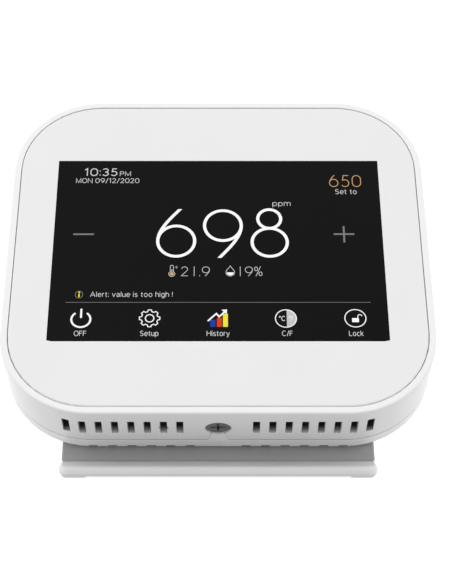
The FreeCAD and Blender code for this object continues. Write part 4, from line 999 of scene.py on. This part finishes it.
def add_tab(shell):
    """Tab that runs forward over the seam to the screw's seat."""
    meets = seat_angle(0.0)
    front = [seat_point(meets * (1 - step / 5)) for step in range(11)]
    outer, ledge, inner = BOTTOM, BOTTOM + STEP_INSET, BOTTOM + LIP_INSET
    shell.level([(TAB_HALF, COVER_FRONT)] + front + [(-TAB_HALF, COVER_FRONT)], outer)
    shell.level([(TAB_LIP_HALF, LIP_FRONT)] + front + [(-TAB_LIP_HALF, LIP_FRONT)], inner)
    shell.curtain(front, outer, inner)
    for side in (-1, 1):
        root, lip, tip = side * TAB_HALF, side * TAB_LIP_HALF, (side * front[0][0], front[0][1])
        shell.face([(*tip, outer), (root, COVER_FRONT, outer), (root, COVER_FRONT, ledge),
                    (root, SEAM_FRONT, ledge), (root, SEAM_FRONT, inner), (lip, LIP_FRONT, inner),
                    (*tip, inner)])
        shell.face([(root, SEAM_FRONT, inner), (root, LIP_FRONT, inner), (lip, LIP_FRONT, inner)])
    top = BOTTOM + COVER_WALL
    shell.upright([(-TAB_HALF, top), (TAB_HALF, top), (TAB_HALF, inner), (TAB_LIP_HALF, inner),
                   (-TAB_LIP_HALF, inner), (-TAB_HALF, inner)], LIP_FRONT)


def make_front_panel():
    """Face plate with rounded outer edge and the screen's window."""
    shell = Shell()
    edge_inset, rounding, back = 1.95, 0.45, LEDGE_SPAN[0]
    gap, chamfer = 0.1, 0.06
    size = glass_high - glass_low
    window = [size.x / MM / 2 + gap, size.z / MM / 2 + gap]
    outline = lambda inset: case_outline(edge_inset + inset, (-REACH_X, REACH_X))
    rows = rounded_edge(outline, rounding) + [(outline(0), back, SHADE_BLACK)]
    for grown, depth, tone in ((0, back, SHADE_BLACK), (0, chamfer, PLAIN), (chamfer, 0, PLAIN)):
        half = [side + grown for side in window]
        rows.append(([window_point(point, half) for point in outline(0)], depth, tone))
    shell.rings(rows)
    shell.build("front_panel", 0.03)


def window_point(point, half):
    """Point of the window's edge that faces a point of the panel's outline."""
    past = [abs(point[0]) - REACH_X, abs(point[1]) - REACH_Z]
    if past[0] < 1e-6:
        return point[0], math.copysign(half[1], point[1])
    if past[1] < 1e-6:
        return math.copysign(half[0], point[0]), point[1]
    share = math.atan2(past[1], past[0]) / (math.pi / 2)
    side_share = 0.25         # the part of the corner's turn that faces the window's side
    x, z = half
    if share < side_share:
        z = REACH_Z + (half[1] - REACH_Z) * share / side_share
    else:
        x = half[0] - (half[0] - REACH_X) * (share - side_share) / (1 - side_share)
    return math.copysign(x, point[0]), math.copysign(z, point[1])


def make_touch_glass():
    """Black-masked glass with ground edges."""
    shell = Shell()
    low, high = [[part / MM for part in HEAD.inverted() @ (TURN @ corner)]
                 for corner in (glass_low, glass_high)]
    ground = 0.06
    rows = []
    for inset, depth in ((ground, low[1]), (0, low[1] + ground), (0, high[1] - ground),
                         (ground, high[1])):
        x, z = high[0] - inset, high[2] - inset
        rows.append(([(-x, -z), (x, -z), (x, z), (-x, z)], depth, PLAIN))
    shell.rings(rows, closed=False)
    for outline, depth, _ in (rows[0], rows[-1]):
        shell.upright(outline, depth)
    shell.build("touch_glass", 0.02)


make_housing()
make_back_cover()
make_front_panel()
make_touch_glass()


# ---- floor, light and camera ----
def glowing_paper():
    """White paper of the floor, lit a little from below like a light table."""
    paper = surface("floor_paper", (0.9, 0.9, 0.9), 0.9, grain=2.0, height=0.01, shade=0.004,
                    specular=0.1)
    tree = paper.node_tree
    feed_all(tree, tree.nodes["Principled BSDF"], Emission_Color=(1, 1, 1, 1),
             Emission_Strength=0.5)
    return paper


def make_floor():
    """Pale round floor that curves up into a wall far from the object on every side."""
    flat, bend, rise, turns = 2.0, 0.6, 1.6, 64
    profile = [(flat / 4, 0.0)] + arc((flat, bend), (bend, bend), 270, 360, 12)
    profile.append((flat + bend, rise))
    verts = [(*point, height) for radius, height in profile
             for point in ellipse((0, 0), (radius, radius), turns)]
    faces = [list(range(turns))]
    for ring in range(0, len(verts) - turns, turns):
        for turn in range(turns):
            near, far = ring + turn, ring + (turn + 1) % turns
            faces.append([near, near + turns, far + turns, far])
    floor = piece_from("floor", verts, faces)
    for polygon in floor.data.polygons:
        polygon.use_smooth = True
    floor.data.materials.append(glowing_paper())
    floor.visible_diffuse = False


LEVEL_LIGHT = 0.45            # what the room gives from straight ahead
UP_LIGHT = 0.43               # more from above, less from below
POLE_LIGHT = 0.55             # more from above and below alike
SIDE_LIGHT = 1.0              # more from the left and the right


def weighted(tree, value, weight, added=0.0):
    """Value times a weight, plus a number or another socket."""
    node = tree.nodes.new("ShaderNodeMath")
    node.operation = "MULTIPLY_ADD"
    for socket, part in zip(node.inputs, (value, weight, added)):
        feed(tree, socket, part)
    return node.outputs["Value"]


def make_lights():
    """White room, brighter overhead and at the sides, and one large soft lamp."""
    world = bpy.data.worlds.new("room")
    bpy.context.scene.world = world
    world.use_nodes = True
    tree = world.node_tree
    direction = new_node(tree, "TexCoord").outputs["Generated"]
    parts = new_node(tree, "SeparateXYZ", Vector=direction).outputs
    strength = weighted(tree, parts["Z"], UP_LIGHT, LEVEL_LIGHT)
    for part, weight in ((parts["Z"], POLE_LIGHT), (parts["X"], SIDE_LIGHT)):
        strength = weighted(tree, weighted(tree, part, part), weight, strength)
    feed_all(tree, tree.nodes["Background"], Color=(1, 1, 1, 1), Strength=strength)

    lamp = bpy.data.lights.new("soft_lamp", "AREA")
    lamp.shape = "RECTANGLE"
    lamp.size = 1.2
    lamp.size_y = 0.8
    lamp.energy = 1.2
    holder = new_object("soft_lamp", lamp)
    holder.location = (-0.5, -0.7, 1.1)
    holder.rotation_euler = (-holder.location).to_track_quat("-Z", "Y").to_euler()
    bpy.context.scene.view_settings.view_transform = "Standard"


def make_camera():
    """Camera at the photograph's height, distance and tilt."""
    tilt = math.radians(5.0)
    forward = Vector((0, math.cos(tilt), -math.sin(tilt)))
    up_the_face = TURN @ Vector((0, 0, 1))
    distance, below_middle = 361.46 * MM, 13.35 * MM
    camera = bpy.data.cameras.new("camera")
    camera.lens = 89.4
    camera.sensor_width = 36.0
    camera.shift_x = 0.0134
    camera.clip_start = 0.01
    holder = new_object("camera", camera)
    holder.location = FACE_MIDDLE - up_the_face * below_middle - forward * distance
    holder.rotation_euler = (math.radians(90) - tilt, 0, 0)
    bpy.context.scene.camera = holder


make_floor()
make_lights()
make_camera()
